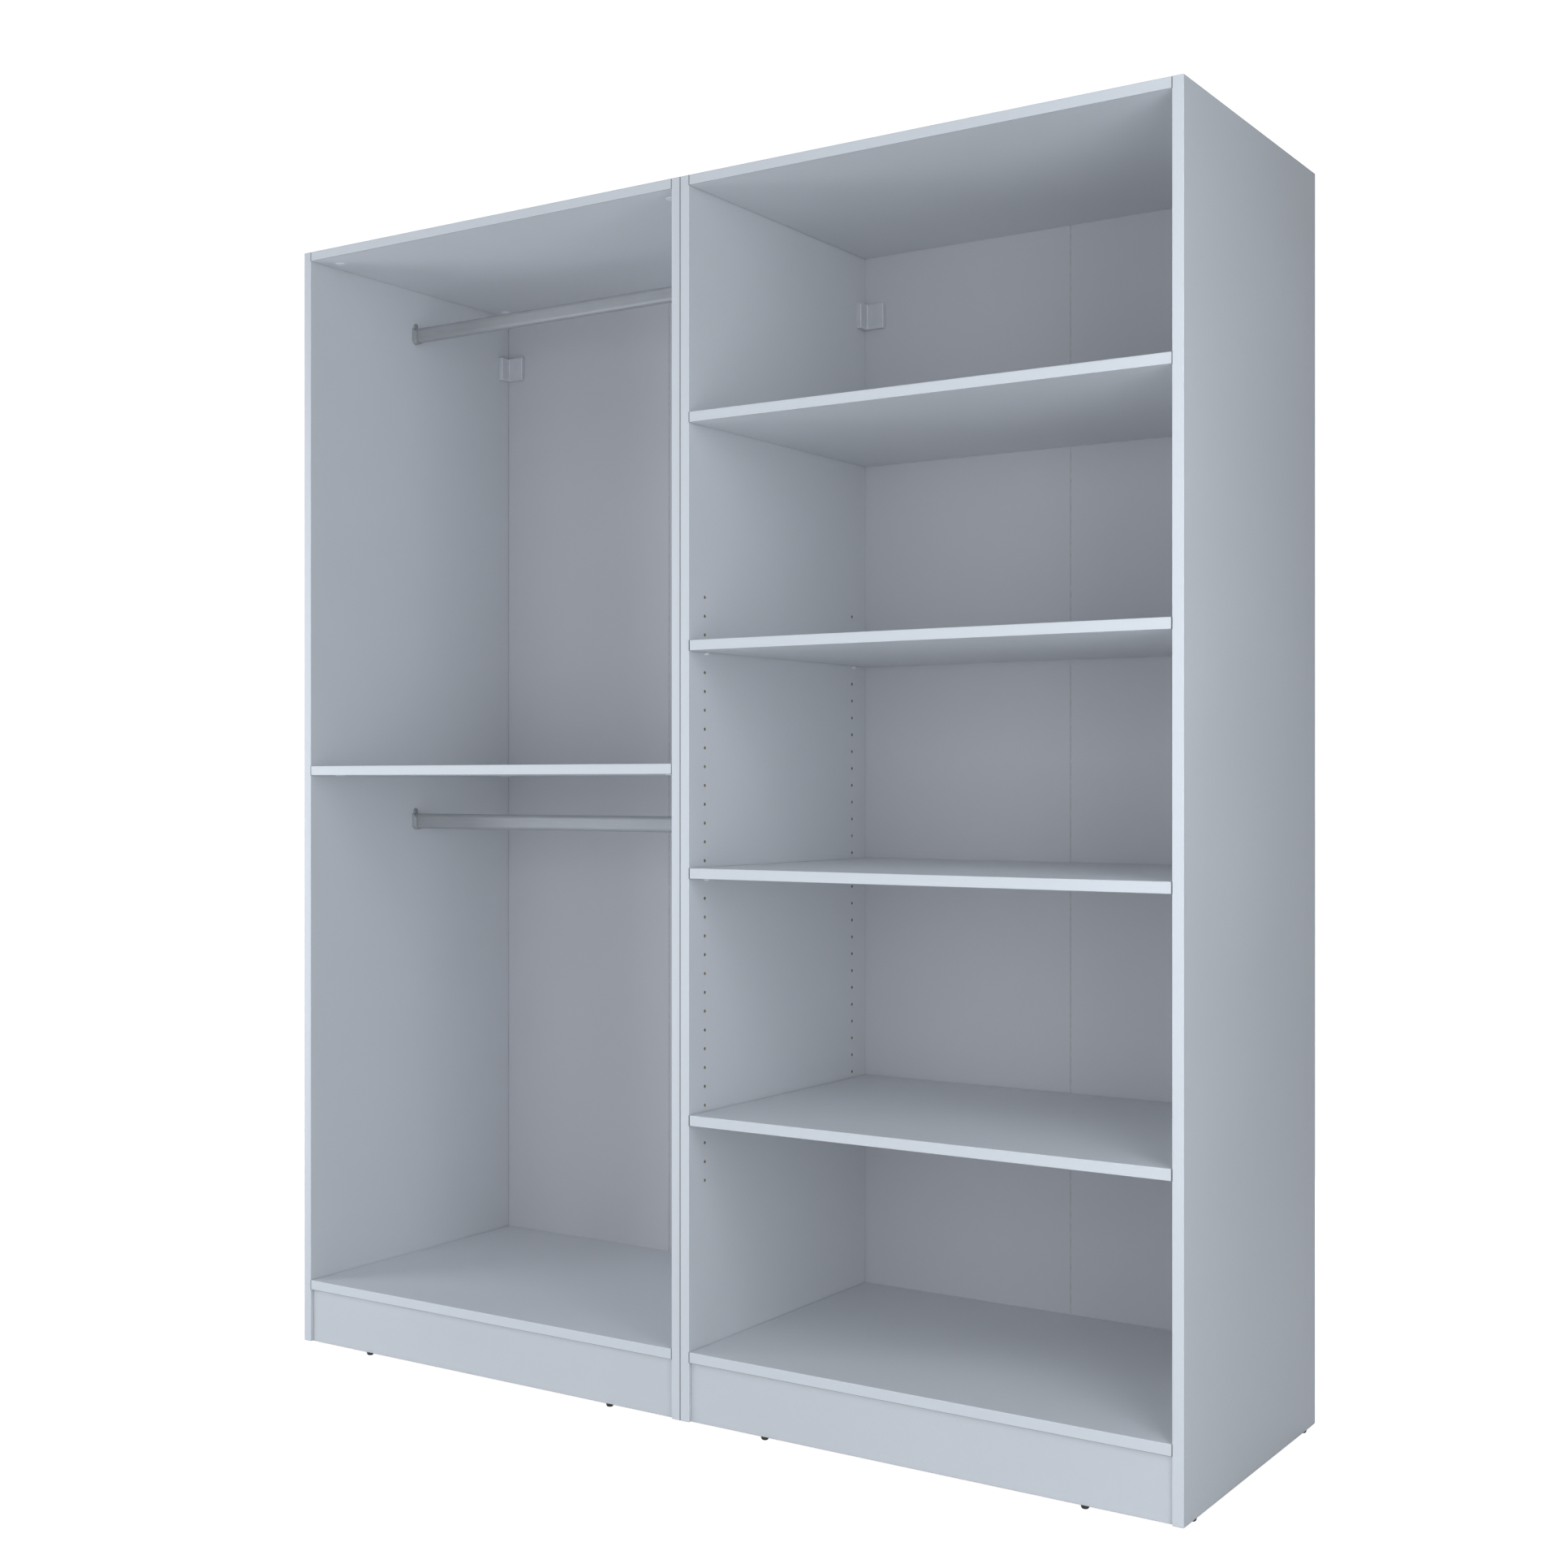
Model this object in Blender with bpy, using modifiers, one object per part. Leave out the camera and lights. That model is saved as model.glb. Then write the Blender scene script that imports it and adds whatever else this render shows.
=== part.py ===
"""Open wardrobe of two board carcasses that stand side by side, in metres, +Z up.

The left bay hangs clothes on two oval rails, above and below a middle shelf. The right bay has
one fixed shelf and three shelves that rest on pins in rows of drilled holes. The front faces -Y.
The origin is on the floor, below the middle of the whole box.
"""

import math

import bmesh
import bpy
from mathutils import Matrix, Vector

# Carcass
CARCASS_WIDTH = 0.900
CARCASS_GAP = 0.0006
SIDE_HEIGHT = 2.100
SIDE_DEPTH = 0.575
BOARD = 0.018
EDGE_ROUNDING = 0.0008
PLINTH_HEIGHT = 0.100
PLINTH_RECESS = 0.006
REAR_PLINTH_INSET = 0.040
TOP_COMPARTMENT = 0.381

# Back sheets, nailed on the rear edges
BACK_SHEET = 0.003
BACK_INSET = 0.0015
BACK_SEAM = 0.002

# Adjustable shelves, their pins and the drilled rows
PIN_RADIUS = 0.0025
PIN_HOLE_DEPTH = 0.010
PIN_REACH = 0.008
PIN_PITCH = 0.032
PIN_ROWS_ABOVE_BOTTOM = 0.282
PIN_ROWS_BELOW_SHELF = 0.290
PIN_ROW_FRONT_INSET = 0.046
PIN_ROW_REAR_INSET = 0.049
PINS_SKIPPED_AT_ENDS = 3
SHELF_SIDE_CLEARANCE = 0.001
SHELF_REAR_CLEARANCE = 0.002

# Hanging rails and the open cups that hold their ends
RAIL_HEIGHT = 0.030
RAIL_WIDTH = 0.015
RAIL_WALL = 0.0012
RAIL_DROP = 0.092
RAIL_END_CLEARANCE = 0.0008
CUP_CLEARANCE = 0.0005
CUP_WALL = 0.0013
CUP_PLATE = 0.002
CUP_FLANGE = 0.0005
CUP_DEPTH = 0.012
CUP_RIM_DROP = 0.008
CUP_TAB_WIDTH = 0.011
CUP_TAB_HEIGHT = 0.011
CUP_SCREW_RADIUS = 0.002

# Wall brackets in the rear corners, and their covers
COVER_DROP = 0.090
COVER_HEIGHT = 0.048
COVER_BACK_LEG = 0.045
COVER_SIDE_LEG = 0.033
COVER_THICKNESS = 0.010
COVER_WALL = 0.0015
COVER_ROUNDING = 0.0006
BRACKET_SHEET = 0.002
BRACKET_CLEARANCE = 0.003
BRACKET_HOLE_RADIUS = 0.0025

# Nail-in glides
GLIDE_HEIGHT = 0.0065
GLIDE_RADIUS = 0.0065
GLIDE_FOOT_RADIUS = 0.0045
GLIDE_PIN_RADIUS = 0.0015
GLIDE_PIN_LENGTH = 0.012
SIDE_GLIDE_FRONT_INSET = 0.055
SIDE_GLIDE_REAR_INSET = 0.037
PLINTH_GLIDE_INSET = 0.162

# Fits
TOUCH = 0.0003
OVERSHOOT = 0.001
DRILL_SIDES = 8
TURNED_STEPS = 12
ARC_STEPS = 6

# Worked out from the sizes above
TOTAL_WIDTH = 2 * CARCASS_WIDTH + CARCASS_GAP
TOTAL_DEPTH = SIDE_DEPTH + TOUCH + BACK_SHEET
BASE_HEIGHT = GLIDE_HEIGHT + TOUCH
INNER_LEFT = BOARD
INNER_RIGHT = CARCASS_WIDTH - BOARD
BOTTOM_TOP = PLINTH_HEIGHT + BOARD
TOP_UNDERSIDE = SIDE_HEIGHT - BOARD
MIDDLE_SHELF_UNDERSIDE = (BOTTOM_TOP + TOP_UNDERSIDE - BOARD) / 2
FIXED_SHELF_UNDERSIDE = TOP_UNDERSIDE - TOP_COMPARTMENT - BOARD
PIN_HOLE_RADIUS = PIN_RADIUS + TOUCH
PIN_ROWS = (PIN_ROW_FRONT_INSET, SIDE_DEPTH - PIN_ROW_REAR_INSET)


def clear_scene():
    for obj in list(bpy.data.objects):
        bpy.data.objects.remove(obj, do_unlink=True)


def new_collection(name):
    collection = bpy.data.collections.new(name)
    bpy.context.scene.collection.children.link(collection)
    return collection


def new_material(name, color, roughness, metallic=0.0):
    material = bpy.data.materials.new(name)
    material.use_nodes = True
    shader = material.node_tree.nodes["Principled BSDF"]
    shader.inputs["Base Color"].default_value = (*color, 1.0)
    shader.inputs["Roughness"].default_value = roughness
    shader.inputs["Metallic"].default_value = metallic
    return material


class Workshop:
    """The collections and materials that every piece uses."""

    def __init__(self):
        self.parts = new_collection("open_wardrobe")
        self.cutters = new_collection("cutters")
        self.cutters.hide_render = True
        self.melamine = new_material("melamine_board", (0.74, 0.77, 0.81), 0.55)
        self.back = new_material("back_sheet", (0.66, 0.69, 0.74), 0.65)
        self.rail = new_material("rail_steel", (0.55, 0.56, 0.58), 0.35, 0.9)
        self.cup = new_material("rail_cup_zinc", (0.50, 0.51, 0.53), 0.4, 0.9)
        self.cover = new_material("cover_plastic", (0.70, 0.72, 0.77), 0.45)
        self.bracket = new_material("bracket_steel", (0.60, 0.61, 0.62), 0.35, 1.0)
        self.pin = new_material("pin_plastic", (0.78, 0.80, 0.83), 0.4)
        self.glide = new_material("glide_plastic", (0.07, 0.065, 0.05), 0.5)

    def add(self, name, data, material, parent, location=(0, 0, 0)):
        """A finished part at a place in its carcass."""
        obj = bpy.data.objects.new(name, data)
        data.materials.append(material)
        self.parts.objects.link(obj)
        obj.parent = parent
        obj.location = location
        return obj

    def add_cutter(self, name, data, parent):
        obj = bpy.data.objects.new(name, data)
        self.cutters.objects.link(obj)
        obj.parent = parent
        obj.hide_render = True
        obj.display_type = "WIRE"
        return obj


def mesh_from(name, shape):
    """The mesh of a bmesh, which is freed."""
    mesh = bpy.data.meshes.new(name)
    shape.to_mesh(mesh)
    shape.free()
    return mesh


def box_mesh(name, size):
    shape = bmesh.new()
    bmesh.ops.create_cube(shape, size=1.0)
    bmesh.ops.scale(shape, vec=size, verts=shape.verts)
    return mesh_from(name, shape)


def add_rod(shape, start, direction, radius, length):
    """A capped cylinder from start along direction, joined to what the bmesh already holds."""
    direction = Vector(direction)
    turn = direction.to_track_quat("Z", "Y").to_matrix().to_4x4()
    middle = Matrix.Translation(Vector(start) + direction * length / 2)
    bmesh.ops.create_cone(
        shape,
        cap_ends=True,
        segments=DRILL_SIDES,
        radius1=radius,
        radius2=radius,
        depth=length,
        matrix=middle @ turn,
    )


def board(shop, name, low, high, material, parent, rounding=EDGE_ROUNDING):
    """A board between two corners, its edges eased where a rounding is given."""
    low, high = Vector(low), Vector(high)
    mesh = box_mesh(name, high - low)
    piece = shop.add(name, mesh, material, parent, (low + high) / 2)
    if rounding:
        bevel = piece.modifiers.new("eased_edges", "BEVEL")
        bevel.width = rounding
        bevel.segments = 1
        bevel.limit_method = "NONE"
    return piece


def cut(piece, cutter):
    boolean = piece.modifiers.new(cutter.name, "BOOLEAN")
    boolean.operation = "DIFFERENCE"
    boolean.object = cutter


def drill(shop, piece, holes):
    """Blind holes in a board, each given as (mouth, direction, radius, depth)."""
    shape = bmesh.new()
    for mouth, direction, radius, depth in holes:
        start = Vector(mouth) - Vector(direction) * OVERSHOOT
        add_rod(shape, start, direction, radius, depth + OVERSHOOT)
    name = piece.name + "_drill"
    cut(piece, shop.add_cutter(name, mesh_from(name, shape), piece.parent))


def outline_mesh(name, outlines, thickness):
    """A plate from flat outlines in XY, the later ones being holes, centred on z = 0."""
    curve = bpy.data.curves.new(name, "CURVE")
    curve.dimensions = "2D"
    curve.fill_mode = "BOTH"
    curve.extrude = thickness / 2
    for points in outlines:
        spline = curve.splines.new("POLY")
        spline.points.add(len(points) - 1)
        for point, (x, y) in zip(spline.points, points):
            point.co = (x, y, 0, 1)
        spline.use_cyclic_u = True
    holder = bpy.data.objects.new(name, curve)
    bpy.context.scene.collection.objects.link(holder)
    graph = bpy.context.evaluated_depsgraph_get()
    mesh = bpy.data.meshes.new_from_object(holder.evaluated_get(graph))
    bpy.data.objects.remove(holder)
    bpy.data.curves.remove(curve)
    shape = bmesh.new()
    shape.from_mesh(mesh)
    bmesh.ops.remove_doubles(shape, verts=shape.verts, dist=1e-6)
    bmesh.ops.recalc_face_normals(shape, faces=shape.faces)
    shape.to_mesh(mesh)
    shape.free()
    mesh.name = name
    return mesh


def arc(center, radius, start, end, steps=ARC_STEPS):
    """Points on a circle from one angle to another, both in degrees and both included."""
    points = []
    for step in range(steps + 1):
        angle = math.radians(start + (end - start) * step / steps)
        points.append((center[0] + radius * math.cos(angle), center[1] + radius * math.sin(angle)))
    return points


def stadium(width, height):
    """An upright oval with straight sides, centred on the origin."""
    rise = (height - width) / 2
    return arc((0, rise), width / 2, 0, 180) + arc((0, -rise), width / 2, 180, 360)


# Carcass boards


def add_side(shop, parent, name, left_edge, extra_holes):
    """A side panel with the holes for its glides, and any others that are given."""
    piece = board(
        shop,
        name,
        (left_edge, 0, 0),
        (left_edge + BOARD, SIDE_DEPTH, SIDE_HEIGHT),
        shop.melamine,
        parent,
    )
    middle = left_edge + BOARD / 2
    drill(shop, piece, [glide_hole(middle, y) for y in side_glide_places()] + extra_holes)


def add_level(shop, parent, name, underside, front=0.0, rear=SIDE_DEPTH, side_clearance=TOUCH):
    """A board that lies between the two sides."""
    return board(
        shop,
        name,
        (INNER_LEFT + side_clearance, front, underside),
        (INNER_RIGHT - side_clearance, rear, underside + BOARD),
        shop.melamine,
        parent,
    )


def add_plinth(shop, parent, name, front):
    return board(
        shop,
        name,
        (INNER_LEFT + TOUCH, front, 0),
        (INNER_RIGHT - TOUCH, front + BOARD, PLINTH_HEIGHT - TOUCH),
        shop.melamine,
        parent,
    )


def add_back(shop, parent, name, left, right):
    board(
        shop,
        name,
        (left, SIDE_DEPTH + TOUCH, PLINTH_HEIGHT + BACK_INSET),
        (right, SIDE_DEPTH + TOUCH + BACK_SHEET, SIDE_HEIGHT - BACK_INSET),
        shop.back,
        parent,
        rounding=0,
    )


# Glides


def side_glide_places():
    return SIDE_GLIDE_FRONT_INSET, SIDE_DEPTH - SIDE_GLIDE_REAR_INSET


def glide_hole(x, y):
    return (x, y, 0), (0, 0, 1), GLIDE_PIN_RADIUS + TOUCH, GLIDE_PIN_LENGTH


def glide_mesh():
    """A turned glide: a pin above, a domed pad below, the board's underside at z = 0."""
    pad_top = -TOUCH
    foot = pad_top - GLIDE_HEIGHT
    profile = (
        (0, GLIDE_PIN_LENGTH - TOUCH),
        (GLIDE_PIN_RADIUS, GLIDE_PIN_LENGTH - TOUCH),
        (GLIDE_PIN_RADIUS, pad_top),
        (GLIDE_RADIUS, pad_top),
        (GLIDE_RADIUS, pad_top - GLIDE_HEIGHT * 0.35),
        ((GLIDE_RADIUS * 2 + GLIDE_FOOT_RADIUS) / 3, pad_top - GLIDE_HEIGHT * 0.8),
        (GLIDE_FOOT_RADIUS, foot),
        (0, foot),
    )
    shape = bmesh.new()
    points = [shape.verts.new((x, 0, z)) for x, z in profile]
    for first, second in zip(points, points[1:]):
        shape.edges.new((first, second))
    return mesh_from("glide", shape)


def add_glides(shop, parent, prefix, places):
    """Turned glides that share one mesh, at the given names and places."""
    mesh = glide_mesh()
    for label, x, y in places:
        glide = shop.add(f"{prefix}_{label}_glide", mesh, shop.glide, parent, (x, y, 0))
        screw = glide.modifiers.new("turned", "SCREW")
        screw.axis = "Z"
        screw.steps = TURNED_STEPS
        screw.render_steps = TURNED_STEPS
        screw.use_merge_vertices = True
        screw.merge_threshold = 0.00001
        screw.use_smooth_shade = True


# Wall brackets and covers


def corner_outline(back_leg, side_leg, thickness, toward):
    """An L in a rear corner at the origin: one leg along the back, one forward along the side.

    toward is 1 where the back leg runs to +X and -1 where it runs to -X.
    """
    points = (
        (0, 0),
        (0, -side_leg),
        (thickness, -side_leg),
        (thickness, -thickness),
        (back_leg, -thickness),
        (back_leg, 0),
    )
    return [(toward * x, y) for x, y in points]


def add_corner(shop, parent, name, corner_x, toward):
    """A steel angle in a rear corner, and the cover that hides it."""
    place = (corner_x + toward * TOUCH, SIDE_DEPTH, TOP_UNDERSIDE - COVER_DROP - COVER_HEIGHT / 2)
    outer = corner_outline(COVER_BACK_LEG, COVER_SIDE_LEG, COVER_THICKNESS, toward)
    cover = shop.add(
        name + "_cover", outline_mesh(name, [outer], COVER_HEIGHT), shop.cover, parent, place
    )
    bevel = cover.modifiers.new("eased_edges", "BEVEL")
    bevel.width = COVER_ROUNDING
    bevel.segments = 1
    bevel.limit_method = "ANGLE"

    inner = corner_outline(
        COVER_BACK_LEG - COVER_WALL + OVERSHOOT,
        COVER_SIDE_LEG - COVER_WALL + OVERSHOOT,
        COVER_THICKNESS - COVER_WALL + OVERSHOOT,
        toward,
    )
    room = [(x - toward * OVERSHOOT, y + OVERSHOOT) for x, y in inner]
    cutter_name = name + "_cover_room"
    room_mesh = outline_mesh(cutter_name, [room], COVER_HEIGHT - 2 * COVER_WALL)
    cutter = shop.add_cutter(cutter_name, room_mesh, parent)
    cutter.location = place
    cut(cover, cutter)

    back_leg = COVER_BACK_LEG - COVER_WALL - BRACKET_CLEARANCE
    side_leg = COVER_SIDE_LEG - COVER_WALL - BRACKET_CLEARANCE
    height = COVER_HEIGHT - 2 * (COVER_WALL + BRACKET_CLEARANCE)
    angle = corner_outline(back_leg, side_leg, BRACKET_SHEET, toward)
    bracket = shop.add(
        name + "_bracket", outline_mesh(name, [angle], height), shop.bracket, parent, place
    )
    shape = bmesh.new()
    back_hole = (place[0] + toward * back_leg * 0.65, place[1] - BRACKET_SHEET - OVERSHOOT, place[2])
    side_hole = (place[0] + toward * (BRACKET_SHEET + OVERSHOOT), place[1] - side_leg * 0.65, place[2])
    length = BRACKET_SHEET + 2 * OVERSHOOT
    add_rod(shape, back_hole, (0, 1, 0), BRACKET_HOLE_RADIUS, length)
    add_rod(shape, side_hole, (-toward, 0, 0), BRACKET_HOLE_RADIUS, length)
    holes_name = name + "_bracket_holes"
    cut(bracket, shop.add_cutter(holes_name, mesh_from(holes_name, shape), parent))


# Hanging rails


def cup_mesh(shop):
    """A rail cup whose plate lies on x = 0 and whose trough opens upwards and towards +X.

    Its origin is on the rail's centre line. Outlines are drawn in XY and stood up afterwards,
    so that their x becomes -y here and their y becomes z.
    """
    inner = RAIL_WIDTH / 2 + CUP_CLEARANCE
    outer = inner + CUP_WALL
    flange = outer + CUP_FLANGE
    round_center = -(RAIL_HEIGHT - RAIL_WIDTH) / 2
    rim = RAIL_HEIGHT / 2
    shoulder = rim + CUP_FLANGE
    tab = CUP_TAB_WIDTH / 2
    tab_center = rim + CUP_TAB_HEIGHT - tab
    plate = (
        arc((0, round_center), flange, 180, 360)
        + [(flange, shoulder), (tab, shoulder)]
        + arc((0, tab_center), tab, 0, 180)
        + [(-tab, shoulder), (-flange, shoulder)]
    )
    screw_hole = arc((0, tab_center), CUP_SCREW_RADIUS, 0, 315, 7)
    trough = (
        arc((0, round_center), outer, 180, 360)
        + [(outer, rim), (inner, rim)]
        + arc((0, round_center), inner, 360, 180)
        + [(-inner, rim), (-outer, rim)]
    )
    wall_length = CUP_DEPTH - CUP_PLATE / 2

    # The wall starts in the middle of the plate, so that the two shapes overlap and fuse.
    stand_up = Matrix.Rotation(math.radians(90), 4, "Z") @ Matrix.Rotation(math.radians(90), 4, "X")
    pieces = []
    for label, outlines, thickness, x in (
        ("plate", [plate, screw_hole], CUP_PLATE, CUP_PLATE / 2),
        ("trough", [trough], wall_length, CUP_PLATE / 2 + wall_length / 2),
    ):
        mesh = outline_mesh("cup_" + label, outlines, thickness)
        mesh.transform(Matrix.Translation((x, 0, 0)) @ stand_up)
        pieces.append(shop.add_cutter("cup_" + label, mesh, None))

    # A wedge slopes the rim down towards the free end.
    reach = outer + OVERSHOOT
    slope = CUP_RIM_DROP / (CUP_DEPTH - CUP_PLATE)
    far = CUP_DEPTH + OVERSHOOT
    wedge_outline = [
        (CUP_PLATE, rim),
        (far, rim - slope * (far - CUP_PLATE)),
        (far, rim + OVERSHOOT),
        (CUP_PLATE, rim + OVERSHOOT),
    ]
    wedge_mesh = outline_mesh("cup_wedge", [wedge_outline], 2 * reach)
    wedge_mesh.transform(Matrix.Rotation(math.radians(90), 4, "X"))
    wedge = shop.add_cutter("cup_wedge", wedge_mesh, None)

    plate_piece, trough_piece = pieces
    cut(trough_piece, wedge)
    join = plate_piece.modifiers.new("trough", "BOOLEAN")
    join.operation = "UNION"
    join.object = trough_piece
    graph = bpy.context.evaluated_depsgraph_get()
    mesh = bpy.data.meshes.new_from_object(plate_piece.evaluated_get(graph))
    for piece in (plate_piece, trough_piece, wedge):
        bpy.data.objects.remove(piece)
    mesh.name = "rail_cup"
    return mesh


def add_rail(shop, parent, name, panel_underside, cup):
    """A hanging rail below a panel, and the cups that hold its ends."""
    height = panel_underside - RAIL_DROP
    middle = SIDE_DEPTH / 2
    left = INNER_LEFT + TOUCH + CUP_PLATE + RAIL_END_CLEARANCE
    right = INNER_RIGHT - TOUCH - CUP_PLATE - RAIL_END_CLEARANCE
    bore = stadium(RAIL_WIDTH - 2 * RAIL_WALL, RAIL_HEIGHT - 2 * RAIL_WALL)
    tube = outline_mesh(name, [stadium(RAIL_WIDTH, RAIL_HEIGHT), bore], right - left)
    stand_up = Matrix.Rotation(math.radians(90), 4, "Z") @ Matrix.Rotation(math.radians(90), 4, "X")
    tube.transform(stand_up)
    tube.shade_smooth()
    tube.set_sharp_from_angle(angle=math.radians(40))
    shop.add(name, tube, shop.rail, parent, ((left + right) / 2, middle, height))
    for label, x, turn in (("left", INNER_LEFT + TOUCH, 0), ("right", INNER_RIGHT - TOUCH, math.pi)):
        holder = shop.add(f"{name}_{label}_cup", cup.copy(), shop.cup, parent, (x, middle, height))
        holder.rotation_euler.z = turn


# Pins and adjustable shelves


def pin_heights():
    """The heights of the holes in one drilled row, from the lowest up."""
    first = BOTTOM_TOP + PIN_ROWS_ABOVE_BOTTOM
    highest = FIXED_SHELF_UNDERSIDE - PIN_ROWS_BELOW_SHELF
    count = int((highest - first) / PIN_PITCH) + 1
    return [first + PIN_PITCH * index for index in range(count)]


def pin_holes(face, direction):
    """Two rows of pin holes in a side whose inner face is at x = face."""
    return [
        ((face, y, z), (direction, 0, 0), PIN_HOLE_RADIUS, PIN_HOLE_DEPTH)
        for y in PIN_ROWS
        for z in pin_heights()
    ]


def add_pinned_shelf(shop, parent, name, pin_height):
    """An adjustable shelf, and the four pins that carry it."""
    add_level(
        shop,
        parent,
        name,
        pin_height + PIN_RADIUS + TOUCH,
        rear=SIDE_DEPTH - SHELF_REAR_CLEARANCE,
        side_clearance=SHELF_SIDE_CLEARANCE,
    )
    length = PIN_REACH + PIN_HOLE_DEPTH - TOUCH
    for side, face, direction in (("left", INNER_LEFT, -1), ("right", INNER_RIGHT, 1)):
        for place, y in zip(("front", "rear"), PIN_ROWS):
            pin_name = f"{name}_{side}_{place}_pin"
            shape = bmesh.new()
            add_rod(shape, (-direction * PIN_REACH, 0, 0), (direction, 0, 0), PIN_RADIUS, length)
            mesh = mesh_from(pin_name, shape)
            shop.add(pin_name, mesh, shop.pin, parent, (face, y, pin_height))


# Carcasses


def add_carcass(shop, name, left_edge, side_holes):
    """One bay's sides, top, bottom, plinths, back sheets, corner brackets and glides."""
    parent = bpy.data.objects.new(name, None)
    shop.parts.objects.link(parent)
    parent.location = (left_edge, -TOTAL_DEPTH / 2, BASE_HEIGHT)
    left_holes, right_holes = side_holes
    add_side(shop, parent, name + "_left_side", 0, left_holes)
    add_side(shop, parent, name + "_right_side", INNER_RIGHT, right_holes)
    add_level(shop, parent, name + "_top", TOP_UNDERSIDE)
    add_level(shop, parent, name + "_bottom", PLINTH_HEIGHT)

    front_plinth = add_plinth(shop, parent, name + "_front_plinth", PLINTH_RECESS)
    add_plinth(shop, parent, name + "_rear_plinth", SIDE_DEPTH - REAR_PLINTH_INSET - BOARD)
    plinth_middle = PLINTH_RECESS + BOARD / 2
    plinth_glides = (PLINTH_GLIDE_INSET, CARCASS_WIDTH - PLINTH_GLIDE_INSET)
    drill(shop, front_plinth, [glide_hole(x, plinth_middle) for x in plinth_glides])

    middle = CARCASS_WIDTH / 2
    add_back(shop, parent, name + "_back_left", BACK_INSET, middle - BACK_SEAM / 2)
    add_back(shop, parent, name + "_back_right", middle + BACK_SEAM / 2, CARCASS_WIDTH - BACK_INSET)
    add_corner(shop, parent, name + "_left_corner", INNER_LEFT, 1)
    add_corner(shop, parent, name + "_right_corner", INNER_RIGHT, -1)

    front, rear = side_glide_places()
    far_side = CARCASS_WIDTH - BOARD / 2
    places = (
        ("left_front", BOARD / 2, front),
        ("left_rear", BOARD / 2, rear),
        ("right_front", far_side, front),
        ("right_rear", far_side, rear),
        ("plinth_left", plinth_glides[0], plinth_middle),
        ("plinth_right", plinth_glides[1], plinth_middle),
    )
    add_glides(shop, parent, name, places)
    return parent


def add_hanging_bay(shop):
    """The left bay: a middle shelf with a rail above it and another below it."""
    bay = add_carcass(shop, "left_bay", -TOTAL_WIDTH / 2, ([], []))
    add_level(shop, bay, "left_bay_middle_shelf", MIDDLE_SHELF_UNDERSIDE)
    cup = cup_mesh(shop)
    add_rail(shop, bay, "upper_rail", TOP_UNDERSIDE, cup)
    add_rail(shop, bay, "lower_rail", MIDDLE_SHELF_UNDERSIDE, cup)
    bpy.data.meshes.remove(cup)


def add_shelf_bay(shop):
    """The right bay: a fixed shelf and three adjustable ones on pins."""
    drilled = (pin_holes(INNER_LEFT, -1), pin_holes(INNER_RIGHT, 1))
    bay = add_carcass(shop, "right_bay", CARCASS_GAP / 2, drilled)
    add_level(shop, bay, "right_bay_fixed_shelf", FIXED_SHELF_UNDERSIDE)
    heights = pin_heights()
    levels = (
        ("upper", len(heights) - 1 - PINS_SKIPPED_AT_ENDS),
        ("middle", len(heights) // 2),
        ("lower", PINS_SKIPPED_AT_ENDS),
    )
    for label, index in levels:
        add_pinned_shelf(shop, bay, label + "_pinned_shelf", heights[index])


def main():
    clear_scene()
    shop = Workshop()
    add_hanging_bay(shop)
    add_shelf_bay(shop)


if __name__ == "__main__":
    main()
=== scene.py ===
"""Finishes, fittings and studio for an open wardrobe of two board carcasses, in metres, +Z up."""

import math

import bmesh
import bpy
from bpy.props import FloatProperty, FloatVectorProperty, IntProperty, PointerProperty
from bpy.types import Operator, Panel, PropertyGroup
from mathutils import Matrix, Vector


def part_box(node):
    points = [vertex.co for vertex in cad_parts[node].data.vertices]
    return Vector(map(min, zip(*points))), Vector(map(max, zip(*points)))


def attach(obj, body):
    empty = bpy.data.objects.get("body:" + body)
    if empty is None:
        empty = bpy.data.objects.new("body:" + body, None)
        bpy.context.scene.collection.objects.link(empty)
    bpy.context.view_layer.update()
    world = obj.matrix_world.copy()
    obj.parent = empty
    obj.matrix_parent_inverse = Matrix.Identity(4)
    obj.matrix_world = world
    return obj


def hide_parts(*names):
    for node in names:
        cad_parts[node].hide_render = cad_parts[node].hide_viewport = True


bl_info = {
    "name": "Open Wardrobe", "version": (1, 0, 0), "blender": (4, 5, 0),
    "location": "View3D > Sidebar > Wardrobe",
    "description": "Finishes, fittings and a studio for an open wardrobe", "category": "Object",
}

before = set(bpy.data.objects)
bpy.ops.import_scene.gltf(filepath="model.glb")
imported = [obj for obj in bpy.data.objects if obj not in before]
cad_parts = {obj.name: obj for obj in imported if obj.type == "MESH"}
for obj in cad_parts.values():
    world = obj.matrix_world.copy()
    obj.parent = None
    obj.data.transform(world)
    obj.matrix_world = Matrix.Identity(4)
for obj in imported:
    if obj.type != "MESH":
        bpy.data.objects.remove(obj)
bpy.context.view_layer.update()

CARCASS = "carcasses"
BAYS = ("left_bay", "right_bay")
RAILS = {"upper_rail": "upper_hanging_rail", "lower_rail": "lower_hanging_rail"}
PINNED_SHELVES = ("upper_pinned_shelf", "middle_pinned_shelf", "lower_pinned_shelf")
LEVELS = {
    "left_bay": ("left_bay_top", "left_bay_middle_shelf", "left_bay_bottom"),
    "right_bay": ("right_bay_top", "right_bay_fixed_shelf", "right_bay_bottom", *PINNED_SHELVES),
}
CAPPED_LEVELS = LEVELS["left_bay"][:2]
SIDES = {"left": 1, "right": -1}
PLAIN_SIDES = tuple(f"left_bay_{side}_side" for side in SIDES)
PLINTHS = tuple(f"{bay}_{place}_plinth" for bay in BAYS for place in ("front", "rear"))
CORNERS = {f"{bay}_{side}_corner": inward for bay in BAYS for side, inward in SIDES.items()}

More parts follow.
